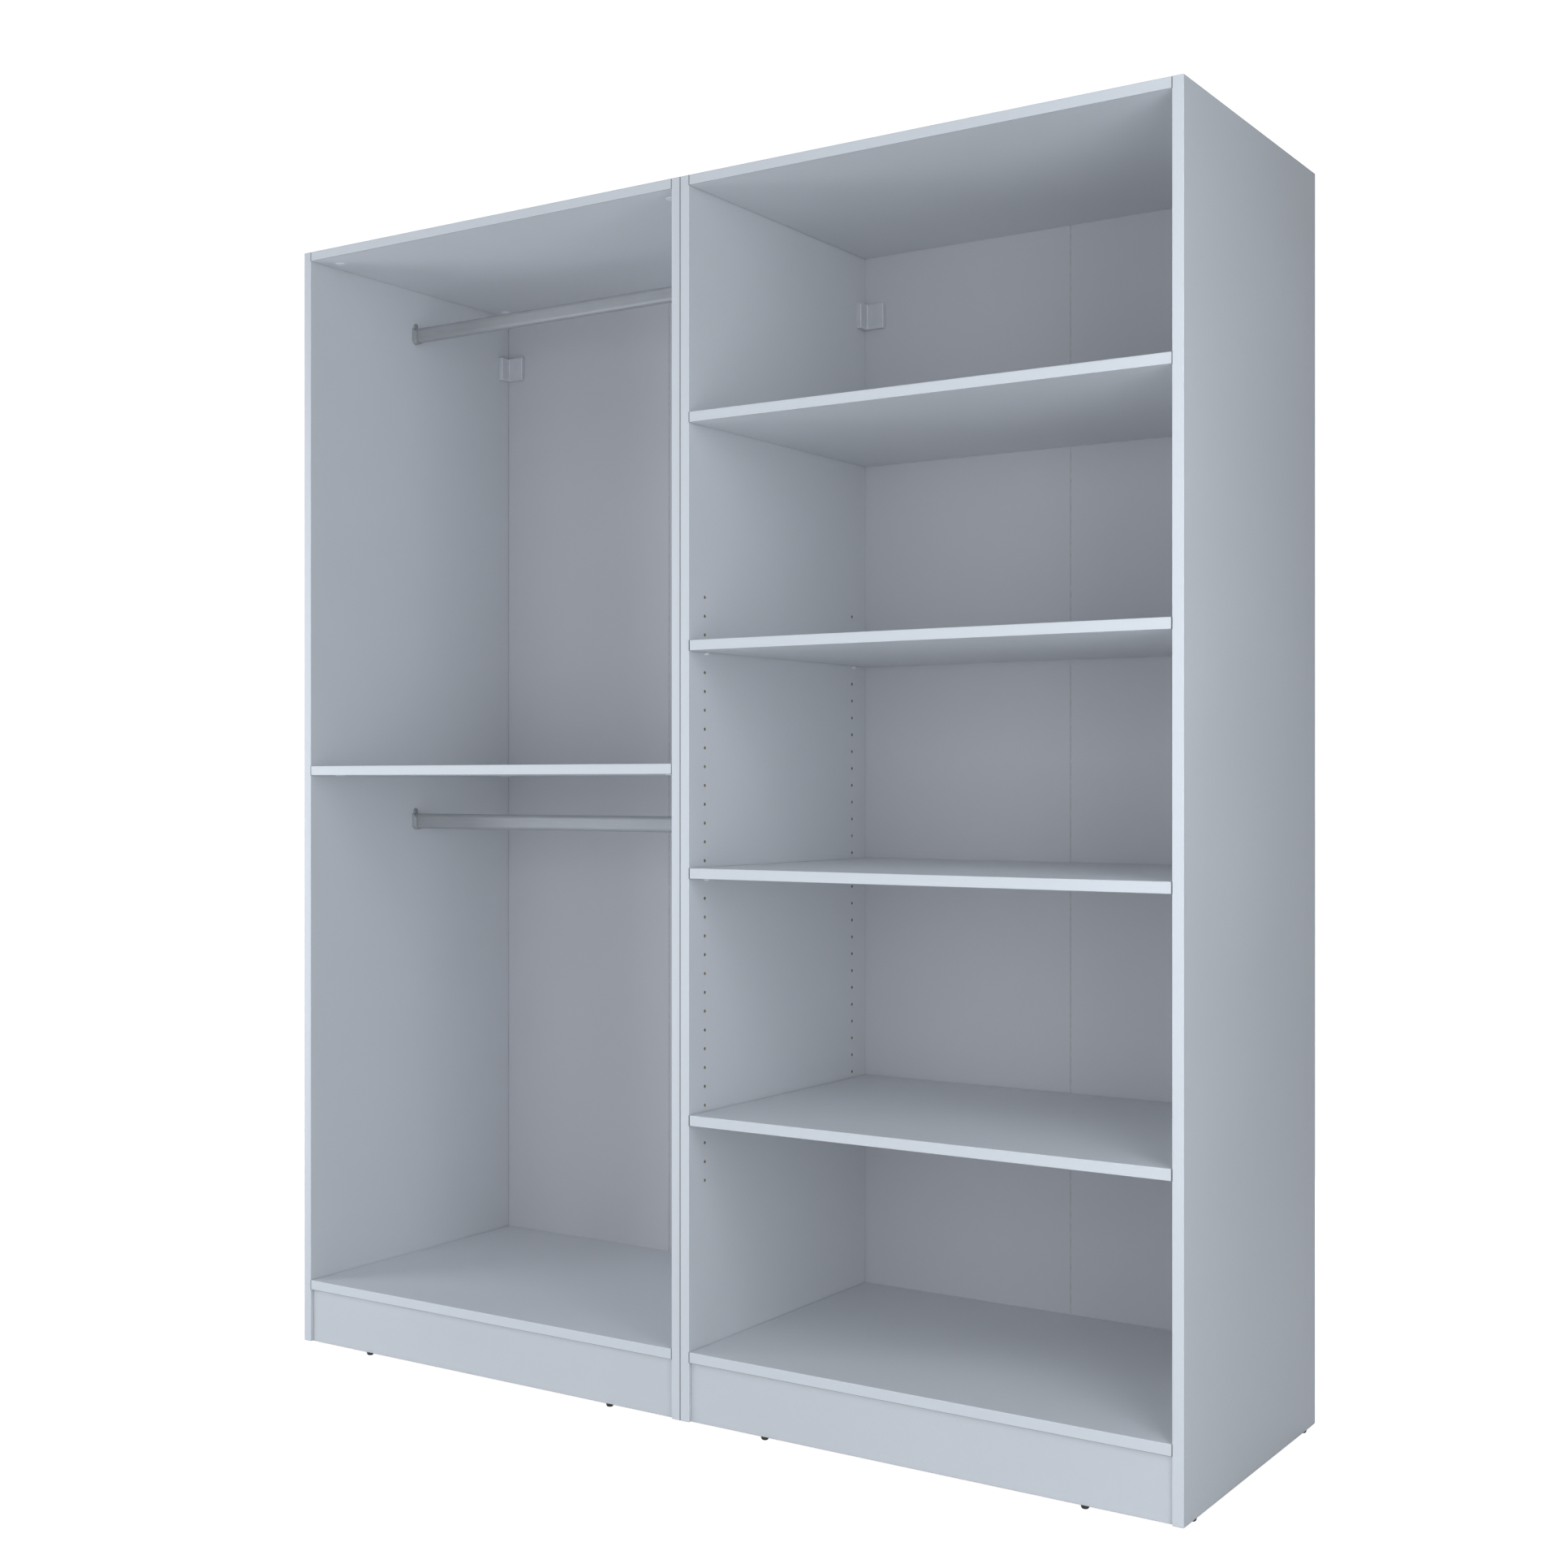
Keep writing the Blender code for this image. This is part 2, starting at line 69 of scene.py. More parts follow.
FRONT, REAR = (0, -1, 0), (0, 1, 0)
DOWN, UP = (0, 0, -1), (0, 0, 1)
LEFT, RIGHT = (-1, 0, 0), (1, 0, 0)

# A face turned further than SQUARE from each main direction is an eased edge, and one that faces a
# direction more than LEANING leans that way. A band and a bare back start at BAND_SQUARE.
SQUARE = 0.93
BAND_SQUARE = 0.5
LEANING = 0.3
# How near to a joint an eased edge has to lie to be one of its edges.
JOINT_REACH = 0.0015
CHIP_DEPTH = 0.0003
THREAD = 0.0009
# Gap between two pieces that lie on each other.
HAIRLINE = 0.00002
TAPE_THICKNESS = 0.0002
TAPE_END = 0.002
BRACKET_SHEET = 0.002
PAD_GAP = 0.0003
# Points nearer than this are one point.
SAME_PLACE = 1e-6
MERGE_DISTANCE = 0.000004
SHARP_ANGLE = 35
BEVEL_ANGLE = 40
HALF_ROUND_STEPS = 20
FLOOR_HALF_WIDTH = 60
VIEW_DISTANCE = 200

# Shares of a screw's radius and length: its recess's width and depth, and its head's seat. Then where a
# bracket's screw sits on its leg.
RECESS_WIDTH = 0.24
RECESS_DEPTH = 0.28
HEAD_SEAT = 0.55
BRACKET_SCREW = 0.65
# A glide's nail: its radius as a share of the pad's, and how deep its head lies and how high it is, as
# shares of the pad's height.
GLIDE_NAIL = 0.28
GLIDE_NAIL_SUNK = 0.1
GLIDE_NAIL_HEAD = 0.18

# Outlines of the turned pieces, as shares of their radius and length.
SCREW = (
    (0, 0), (0.52, 0), (0.52, 0.55), (0.94, 0.56), (1, 0.62), (1, 0.72), (0.86, 0.88), (0.6, 0.97), (0, 1)
)
BACK_NAIL = ((0, 0), (0.86, 0), (1, 0.25), (0.97, 0.6), (0.8, 0.88), (0.45, 1), (0, 1))
PIN = (
    (0, 0), (0.76, 0), (0.9, 0.015), (1, 0.05), (1, 0.42), (0.9, 0.435),
    (0.9, 0.46), (1, 0.475), (1, 0.95), (0.92, 0.982), (0.76, 1), (0, 1),
)
CAP = ((0, 0), (0.985, 0), (1, 0.12), (1, 0.5), (0.975, 0.8), (0.93, 0.96), (0.86, 1), (0, 0.9))
PAD = (
    (0.17, 0), (0.97, 0), (1, 0.05), (1, 0.36), (0.97, 0.56), (0.9, 0.76), (0.8, 0.93),
    (0.7, 1), (0.36, 1), (0.3, 0.95), (0.3, 0.72), (0.17, 0.72), (0.17, 0),
)

# Each size of the fittings: its name, what it is and its default.
FITTING_SIZES = (
    ("board_rounding", "Easing of a drilled side's edges", 0.0008),
    ("sheet_rounding", "Easing of a back sheet's edges", 0.0003),
    ("pin_pitch", "Distance between two holes of a row", 0.032),
    ("hole_radius", "Radius of a pin hole", 0.0028),
    ("hole_depth", "Depth of a pin hole", 0.010),
    ("glide_hole_radius", "Radius of a glide's nail hole", 0.0018),
    ("glide_hole_depth", "Depth of a glide's nail hole", 0.012),
    ("rail_wall", "Wall of a hanging rail", 0.0012),
    ("cup_clearance", "Gap between a cup and its rail", 0.0005),
    ("cup_wall", "Wall of a rail cup", 0.0013),
    ("cup_plate", "Thickness of a cup's plate", 0.002),
    ("cup_rim_drop", "How far a cup's rim falls to its free end", 0.008),
    ("cup_tab_width", "Width of the screw tab on a cup", 0.011),
    ("cup_rounding", "Easing of a cup's edges", 0.00025),
    ("cover_rounding", "Rounding of a cover's edges", 0.0022),
    ("cover_thickness", "Depth of a cover in front of the wall", 0.010),
    ("cover_wall", "Wall of a cover", 0.0015),
    ("cap_radius", "Radius of a cam cap", 0.0098),
    ("cap_height", "How far a cam cap stands out", 0.0012),
    ("cap_inset", "Cam cap from a level's end", 0.034),
    ("cap_front", "Front cam cap from the front edge", 0.046),
    ("cap_rear", "Rear cam cap from the rear edge", 0.048),
    ("screw_radius", "Radius of a screw's head", 0.0034),
    ("screw_length", "A screw's head and the part of its shank that shows", 0.0040),
    ("nail_radius", "Radius of a back nail's head", 0.0023),
    ("nail_head", "Height of a back nail's head", 0.00045),
    ("nail_spacing", "Largest distance between two back nails", 0.150),
    ("tape_width", "Width of the tape behind a seam", 0.030),
    ("seam_groove", "Depth of the groove in front of the tape", 0.0004),
)

# Each softbox: its name, what it is, its watts, where it stands, where it points, its width and height.
SOFTBOXES = (
    ("front_light", "Wide softbox in front", 11.5, (0.6, -3.9, 1.15), (0.6, 0.0, 1.0), (5.0, 2.3)),
    ("near_light", "Softbox close in front", 9.6, (0.0, -2.2, 1.1), (0.0, 0.0, 1.05), (2.6, 1.6)),
    ("right_light", "Softbox at the front right", 11.8, (2.3, -1.6, 1.1), (0.9, 0.0, 1.05), (1.2, 2.0)),
    ("left_light", "Softbox at the front left", 20.0, (-2.3, -1.6, 1.1), (-0.9, 0.0, 1.05), (1.2, 2.0)),
    ("strip_light", "Strip by the right bay", 2.6, (1.55, -0.95, 1.15), (0.9, -0.2, 1.1), (0.4, 1.8)),
    ("high_light", "Softbox high on the right", 7.0, (2.2, -1.2, 2.2), (0.9, -0.1, 1.5), (1.2, 0.8)),
    ("top_light", "Softbox overhead", 11.0, (0.0, -1.2, 3.6), (0.0, -0.5, 0.0), (5.0, 3.0)),
    ("raised_light", "Softbox above the camera", 3.9, (0.0, -2.6, 3.0), (0.0, 0.0, 1.0), (3.0, 1.5)),
    ("rear_light", "Softbox behind the backs", 13.0, (0.0, 2.3, 1.3), (0.0, 0.3, 1.05), (1.5, 2.2)),
    ("roof_light", "Softbox above the tops", 16.0, (0.0, 0.9, 3.7), (0.0, 0.1, 2.1), (1.6, 0.8)),
)


def number(name, description, default, **more):
    more = {"min": 0, **more}
    return FloatProperty(name=name, description=description, default=default, **more)


def length(name, description, default):
    return number(name, description, default, unit="LENGTH")


def colour(name, description, default):
    return FloatVectorProperty(
        name=name, description=description, default=default, min=0, max=1, subtype="COLOR"
    )


class WardrobeFinishSettings(PropertyGroup):
    """Colours and surface textures."""

    board: colour("Board", "Melamine faces", (0.768, 0.780, 0.799))
    band: colour("Edge band", "Banded front edges", (0.838, 0.850, 0.871))
    core: colour("Core", "Chipboard between the faces", (0.470, 0.370, 0.250))
    back: colour("Back, inside", "Lacquered inner face of the back sheets", (0.716, 0.710, 0.738))
    hardboard: colour("Back, outside", "Bare outer face of the back sheets", (0.400, 0.285, 0.180))
    tape: colour("Seam tape", "Tape behind each back seam", (0.560, 0.565, 0.590))
    steel: colour("Rail steel", "Matt silver of the hanging rails", (0.500, 0.505, 0.520))
    zinc: colour("Cup zinc", "Cast zinc of the rail cups and screws", (0.520, 0.525, 0.535))
    cover: colour("Cover", "Moulded plastic of the corner covers", (0.740, 0.745, 0.775))
    cap: colour("Cap", "Plastic of the cam caps and the shelf pins", (0.930, 0.935, 0.945))
    glide: colour("Glide", "Plastic of the glides", (0.050, 0.047, 0.030))
    band_thickness: length("Band thickness", "Thickness of the edge band", 0.0008)
    glue_line: length("Glue line", "Width of the glue line behind the band", 0.00024)
    pearl: length("Pearl", "Size of the melamine's pearls", 0.0016)
    pearl_depth: length("Pearl depth", "Height of the melamine's pearls", 0.00003)
    chip: length("Chip", "Size of the core's wood chips", 0.0035)
    mottle: number("Mottle", "Tone change over a board", 0.03, max=1, subtype="FACTOR")


class WardrobeFittingSettings(PropertyGroup):
    """Sizes of the fittings."""

    pin_rows: IntProperty(name="Holes", description="Holes in one row", default=32, min=1)
    pins_below: IntProperty(
        name="Holes below", description="Holes under the lowest shelf's pin", default=3, min=0
    )


class WardrobeStageSettings(PropertyGroup):
    """Floor, lights and camera."""

    floor: colour("Floor", "Pale floor", (0.900, 0.900, 0.900))
    tint: colour("Light tint", "Colour of the studio light", (0.869, 0.930, 1.000))
    floor_glow: number("Floor glow", "How far the floor is lifted to white in view", 0.95)
    surroundings: number("Surroundings", "Strength of the light from all round", 0.155)
    backdrop: number("Backdrop", "Brightness of the white backdrop in view", 1.15)
    camera_place: FloatVectorProperty(
        name="Camera place", description="Where the camera stands", unit="LENGTH",
        default=(2.0202, -3.0403, 1.0813),
    )
    camera_turn: number("Camera turn", "Camera's turn to the left", 0.582, unit="ROTATION", min=-math.pi)
    lens: number("Lens", "Focal length in millimetres", 46.37, unit="CAMERA", min=1)


def add_settings(group, unit, rows):
    """Adds a setting to a group for each row, which starts with its name, what it is and its default."""
    for label, what, default, *_ in rows:
        name = label.replace("_", " ").capitalize()
        group.__annotations__[label] = number(name, what, default, unit=unit)


add_settings(WardrobeFittingSettings, "LENGTH", FITTING_SIZES)
add_settings(WardrobeStageSettings, "POWER", SOFTBOXES)


# Materials


class Graph:
    """Nodes that are being put together."""

    def __init__(self, tree):
        self.nodes = tree.nodes
        self.links = tree.links

    def feed(self, socket, value):
        """Puts a number, a colour or another node's output into a socket."""
        if isinstance(value, bpy.types.NodeSocket):
            self.links.new(value, socket)
        elif socket.type == "RGBA" and len(value) == 3:
            socket.default_value = (*value, 1.0)
        else:
            socket.default_value = value

    def node(self, kind, *values, **settings):
        """A node with its settings and its first inputs."""
        node = self.nodes.new(kind)
        for label, setting in settings.items():
            setattr(node, label, setting)
        for socket, value in zip(node.inputs, values):
            self.feed(socket, value)
        return node

    def math(self, operation, *values):
        return self.node("ShaderNodeMath", *values, operation=operation).outputs[0]

    def times(self, first, second):
        return self.math("MULTIPLY", first, second)

    def greatest(self, values):
        found = values[0]
        for value in values[1:]:
            found = self.math("MAXIMUM", found, value)
        return found

    def blend(self, factor, first, second):
        """A colour between two others."""
        node = self.node("ShaderNodeMix", factor, data_type="RGBA")
        for socket, value in zip(of_kind(node.inputs, "RGBA"), (first, second)):
            self.feed(socket, value)
        return of_kind(node.outputs, "RGBA")[0]

    def stretch(self, value, low=0.3, high=0.7, new_low=0.0, new_high=1.0):
        """A value carried from one range to another, and kept inside it."""
        return self.node("ShaderNodeMapRange", value, low, high, new_low, new_high).outputs[0]


def of_kind(sockets, kind):
    return [socket for socket in sockets if socket.type == kind]


class Finish(Graph):
    """A material that is being put together."""

    def __init__(self, name):
        self.material = bpy.data.materials.new(name)
        self.material.use_nodes = True
        super().__init__(self.material.node_tree)
        self.shader = self.nodes["Principled BSDF"]
        texture_place = self.nodes.new("ShaderNodeTexCoord")
        self.place = texture_place.outputs["Object"]
        self.normal = texture_place.outputs["Normal"]

    def vector(self, operation, *values):
        node = self.node("ShaderNodeVectorMath", *values, operation=operation)
        return node.outputs["Value" if operation == "DOT_PRODUCT" else "Vector"]

    def split(self, vector):
        return self.node("ShaderNodeSeparateXYZ", vector).outputs

    def texture(self, kind, size, scaling):
        """A texture whose features are about that size, stretched where a scaling is given."""
        place = self.vector("MULTIPLY", self.place, scaling) if scaling else self.place
        node = self.node(kind, place)
        node.inputs["Scale"].default_value = 1 / size
        return node

    def noise(self, size, detail=2.0, roughness=0.5, scaling=None):
        node = self.texture("ShaderNodeTexNoise", size, scaling)
        node.inputs["Detail"].default_value = detail
        node.inputs["Roughness"].default_value = roughness
        return node.outputs["Fac"]

    def cells(self, size, output="Color", scaling=None):
        return self.texture("ShaderNodeTexVoronoi", size, scaling).outputs[output]

    def facing(self, directions, least=SQUARE):
        """1 where the surface faces one of these directions, at least that squarely."""
        turns = [self.vector("DOT_PRODUCT", self.normal, direction) for direction in directions]
        return self.greatest([self.math("GREATER_THAN", turn, least) for turn in turns])

    def near_any(self, value, places, reach):
        """1 where the value is within reach of any of these places."""
        return self.greatest([self.math("COMPARE", value, place, reach) for place in places])

    def eased(self):
        """1 on the eased edges, which face none of the six main directions squarely."""
        parts = self.split(self.vector("ABSOLUTE", self.normal))
        return self.math("LESS_THAN", self.greatest(parts), SQUARE)

    def bump(self, height, depth, below=None):
        node = self.nodes.new("ShaderNodeBump")
        self.feed(node.inputs["Height"], height)
        node.inputs["Distance"].default_value = depth
        if below is not None:
            self.feed(node.inputs["Normal"], below)
        return node.outputs["Normal"]

    def done(self, base, roughness, normal, **constants):
        """Links the shader, sets its constant sockets and gives the material back."""
        for label, value in (("Base Color", base), ("Roughness", roughness), ("Normal", normal)):
            self.feed(self.shader.inputs[label], value)
        for label, value in constants.items():
            self.shader.inputs[label.replace("_", " ").title().replace("Ior", "IOR")].default_value = value
        return self.material


def shade(tone, by):
    """A paler or darker shade of a colour."""
    return tuple(min(1.0, part * by) for part in tone)


def chipboard(finish, finishes):
    """Colour and height of the core's pressed chips."""
    tone = finish.split(finish.cells(finishes.chip, scaling=(1.0, 0.6, 1.4)))[0]
    dust = finish.noise(finishes.chip / 6, detail=3)
    wood = finish.blend(tone, shade(finishes.core, 0.55), shade(finishes.core, 1.35))
    dusted = finish.blend(finish.stretch(dust, 0.35, 0.65, 0.0, 0.6), wood, finishes.core)
    return dusted, finish.math("ADD", tone, dust)


def core_finish(finishes):
    """Bare chipboard, as inside a drilled hole."""
    finish = Finish("chipboard_core")
    wood, height = chipboard(finish, finishes)
    return finish.done(wood, 0.85, finish.bump(height, CHIP_DEPTH))


def melamine_finish(name, finishes, banded, raw, front, joint=None):
    """A faced board: melamine with fine pearls, a band on some edges and bare core on others.

    front is where the banded front edges lie, or None for a board that has none.
    joint finds the eased edges that meet another board, and painted shade darkens them there.
    """
    finish = Finish(name)
    board = finishes.board
    clouds = finish.noise(0.35, detail=3)
    pearls = finish.noise(finishes.pearl, detail=2, roughness=0.6)
    specks = finish.noise(finishes.pearl * 2.6, detail=1)
    face = finish.blend(finish.stretch(clouds), shade(board, 1 - finishes.mottle), board)
    speckled = shade(board, 1 - finishes.mottle * 0.8)
    face = finish.blend(finish.stretch(specks, 0.56, 0.66, 0.0, 0.7), face, speckled)
    roughness = finish.stretch(clouds, new_low=0.44, new_high=0.52)

    if banded:
        band = finish.facing(banded, BAND_SQUARE)
        if front is not None:
            depth = finish.math("SUBTRACT", finish.split(finish.place)[1], front)
            band = finish.greatest((band, finish.math("LESS_THAN", depth, finishes.band_thickness)))
        face = finish.blend(band, face, finishes.band)
        roughness = finish.math("SUBTRACT", roughness, finish.times(band, 0.06))
        if front is not None:
            half_line = finishes.glue_line / 2
            glue = finish.math("COMPARE", depth, finishes.band_thickness + half_line, half_line)
            face = finish.blend(finish.times(glue, 0.7), face, shade(board, 0.72))
    eased = finish.eased()
    # Painted highlight: the eased edges are blended towards a pale band tone, unevenly where the specks fall.
    edge_highlight = finish.times(eased, finish.stretch(specks, 0.35, 0.6, 0.35, 0.9))
    face = finish.blend(edge_highlight, face, shade(finishes.band, 1.12))
    # Painted shade: eased edges that lean downwards are darkened.
    lower = finish.times(eased, finish.facing((DOWN,), LEANING))
    face = finish.blend(finish.times(lower, 0.7), face, shade(board, 0.3))
    if joint is not None:
        # Painted shade: eased edges at a joint with another board are darkened.
        joint_shade = finish.times(eased, joint(finish))
        face = finish.blend(finish.times(joint_shade, 0.85), face, shade(board, 0.3))
    bare = finish.facing(raw)
    wood, chips = chipboard(finish, finishes)
    face = finish.blend(bare, face, wood)
    roughness = finish.math("ADD", roughness, finish.times(bare, 0.35))
    pearly = finish.bump(pearls, finishes.pearl_depth)
    rough = finish.bump(finish.times(bare, chips), CHIP_DEPTH, pearly)
    return finish.done(face, roughness, rough, specular_ior_level=0.42)


def back_finish(finishes):
    """Thin hardboard: lacquered inside, brown and fibrous on the outside and the edges."""
    finish = Finish("back_sheet_lacquer")
    clouds = finish.noise(0.5, detail=3)
    grain = finish.noise(0.0022, detail=2, roughness=0.6)
    fibres = finish.noise(0.004, detail=4, roughness=0.7, scaling=(1.0, 1.0, 2.6))
    screen = finish.cells(0.0016, output="Distance")
    lacquer = finish.blend(finish.stretch(clouds), shade(finishes.back, 1 - finishes.mottle), finishes.back)
    brown = finishes.hardboard
    board = finish.blend(finish.stretch(fibres, new_high=0.8), brown, shade(brown, 1.5))
    board = finish.blend(finish.stretch(clouds, 0.35, 0.65, 0.0, 0.25), board, brown)
    bare = finish.facing((REAR, LEFT, RIGHT, UP, DOWN), BAND_SQUARE)
    roughness = finish.stretch(bare, 0.0, 1.0, 0.5, 0.8)
    lacquered = finish.bump(grain, 0.00003)
    rough = finish.bump(finish.times(bare, finish.math("ADD", screen, fibres)), 0.0002, lacquered)
    return finish.done(finish.blend(bare, lacquer, board), roughness, rough, specular_ior_level=0.4)


def metal_finish(name, tone, drawn, roughness, depth, metallic=0.9):
    """Satin metal whose fine streaks run along X where drawn is high."""
    finish = Finish(name)
    streaks = finish.noise(0.0012, detail=3, roughness=0.6, scaling=(1 / drawn, 1.0, 1.0))
    clouds = finish.noise(0.03, detail=3)
    dull = shade(tone, 0.86)
    base = finish.blend(finish.stretch(streaks), dull, tone)
    base = finish.blend(finish.stretch(clouds, 0.45, 0.75, 0.0, 0.4), base, dull)
    matt = finish.stretch(streaks, new_low=roughness, new_high=roughness + 0.1)
    return finish.done(base, matt, finish.bump(streaks, depth), metallic=metallic)


def plastic_finish(name, tone, grain=0.0005, depth=0.00001, roughness=0.4, highlight_lift=1.16):
    """Moulded plastic with an eroded texture, and a painted highlight that makes its rounded edges paler."""
    finish = Finish(name)
    erosion = finish.noise(grain, detail=3, roughness=0.6)
    clouds = finish.noise(0.02, detail=2)
    pale = tuple(min(1.0, part * highlight_lift + 0.02) for part in tone)
    base = finish.blend(finish.stretch(clouds, 0.35, 0.65), shade(tone, 0.95), tone)
    # Painted highlight: the rounded edges are blended towards a paler tone.
    base = finish.blend(finish.times(finish.eased(), 0.75), base, pale)
    matt = finish.stretch(erosion, new_low=roughness - 0.05, new_high=roughness + 0.07)
    return finish.done(base, matt, finish.bump(erosion, depth))


def tape_finish(finishes):
    """Creased cloth tape."""
    finish = Finish("seam_tape_cloth")
    creases = finish.noise(0.012, detail=3, scaling=(0.4, 1.0, 1.0))
    across, _, along = finish.split(finish.place)
    threads = 2 * math.pi / THREAD
    warp, weft = (finish.math("SINE", finish.times(place, threads)) for place in (across, along))
    pale = shade(finishes.tape, 1.35)
    base = finish.blend(finish.stretch(creases, 0.35, 0.7, 0.0, 0.8), finishes.tape, pale)
    normal = finish.bump(creases, 0.0003, finish.bump(finish.times(warp, weft), 0.00003))
    return finish.done(base, finish.stretch(creases, new_low=0.6, new_high=0.75), normal)


# Meshes and pieces


def mesh_from(name, shape):
    """The mesh of a bmesh, which is freed."""
    mesh = bpy.data.meshes.new(name)
    shape.to_mesh(mesh)
    shape.free()
    return mesh


def eased_box(name, low, high, rounding):
    """A box mesh with eased edges."""
    shape = bmesh.new()
    bmesh.ops.create_cube(shape, size=1.0)
    bmesh.ops.scale(shape, vec=high - low, verts=shape.verts)
    bmesh.ops.translate(shape, vec=(low + high) / 2, verts=shape.verts)
    ease(shape, shape.edges[:], rounding, 2)
    return mesh_from(name, shape)


def ease(shape, edges, width, segments):
    bmesh.ops.bevel(shape, geom=edges, offset=width, segments=segments, profile=0.5, affect="EDGES")


def join_rings(shape, first, second):
    """Faces between two rings of points."""
    count = len(first)
    for index in range(count):
        following = (index + 1) % count
        shape.faces.new((first[index], first[following], second[following], second[index]))


def prism(name, outline, start, end):
    """A closed solid between two parallel copies of an outline, each placed by a function."""
    shape = bmesh.new()
    rings = [[shape.verts.new(place(*point)) for point in outline] for place in (start, end)]
    for ring in rings:
        shape.faces.new(ring)
    join_rings(shape, *rings)
    bmesh.ops.recalc_face_normals(shape, faces=shape.faces)
    return shape if name is None else mesh_from(name, shape)


def arc(center, radius, start, end, steps=HALF_ROUND_STEPS):
    """Points on a circle from one angle to another, both in degrees and both included."""
    points = []
    for step in range(steps + 1):
        angle = math.radians(start + (end - start) * step / steps)
        points.append((center[0] + radius * math.cos(angle), center[1] + radius * math.sin(angle)))
    return points


def scratch_object(name, data):
    obj = bpy.data.objects.new(name, data)
    bpy.context.scene.collection.objects.link(obj)
    return obj


def drop_object(obj):
    """Removes an object and its mesh."""
    source = obj.data
    bpy.data.objects.remove(obj)
    bpy.data.meshes.remove(source)


def worked_out(obj):
    """The mesh that an object's modifiers make. The object and its first mesh are removed."""
    graph = bpy.context.evaluated_depsgraph_get()
    mesh = bpy.data.meshes.new_from_object(obj.evaluated_get(graph))
    name = obj.name
    drop_object(obj)
    mesh.name = name
    return mesh


def combined(first, second, operation):
    """A mesh joined with, or cut by, another. Both are used up."""
    target = scratch_object(first.name, first)
    helper = scratch_object(second.name, second)
    boolean = target.modifiers.new(helper.name, "BOOLEAN")
    boolean.operation = operation
    boolean.solver = "EXACT"
    boolean.object = helper
    mesh = worked_out(target)
    drop_object(helper)
    return mesh


def smooth_above(mesh, angle=SHARP_ANGLE):
    mesh.shade_smooth()
    mesh.set_sharp_from_angle(angle=math.radians(angle))


def add_piece(name, mesh, body, finish=None, stands_for=()):
    """A finished piece, which rides on its body and stands for the CAD nodes that it replaces."""
    mesh.name = name
    if finish is not None:
        mesh.materials.clear()
        mesh.materials.append(finish)
    piece = scratch_object(name, mesh)
    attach(piece, body)
    if stands_for:
        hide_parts(*stands_for)


def dress(node_name, finish):
    """Gives a CAD node its finish."""
    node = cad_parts[node_name]
    if not node.data.materials:
        node.data.materials.append(finish)
    for slot in node.material_slots:
        slot.material = finish


def chosen(context):
    """The colours and the sizes that the user has chosen."""
    return context.scene.wardrobe_finishes, context.scene.wardrobe_fittings


def middle(node_name):
    low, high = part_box(node_name)
    return (low + high) / 2


def stepped(start, end, spacing):
    """Values from start to end, both included, no further apart than the spacing."""
    count = math.ceil(abs(end - start) / spacing)
    return [start + (end - start) * step / count for step in range(count + 1)]


# Geometry Nodes


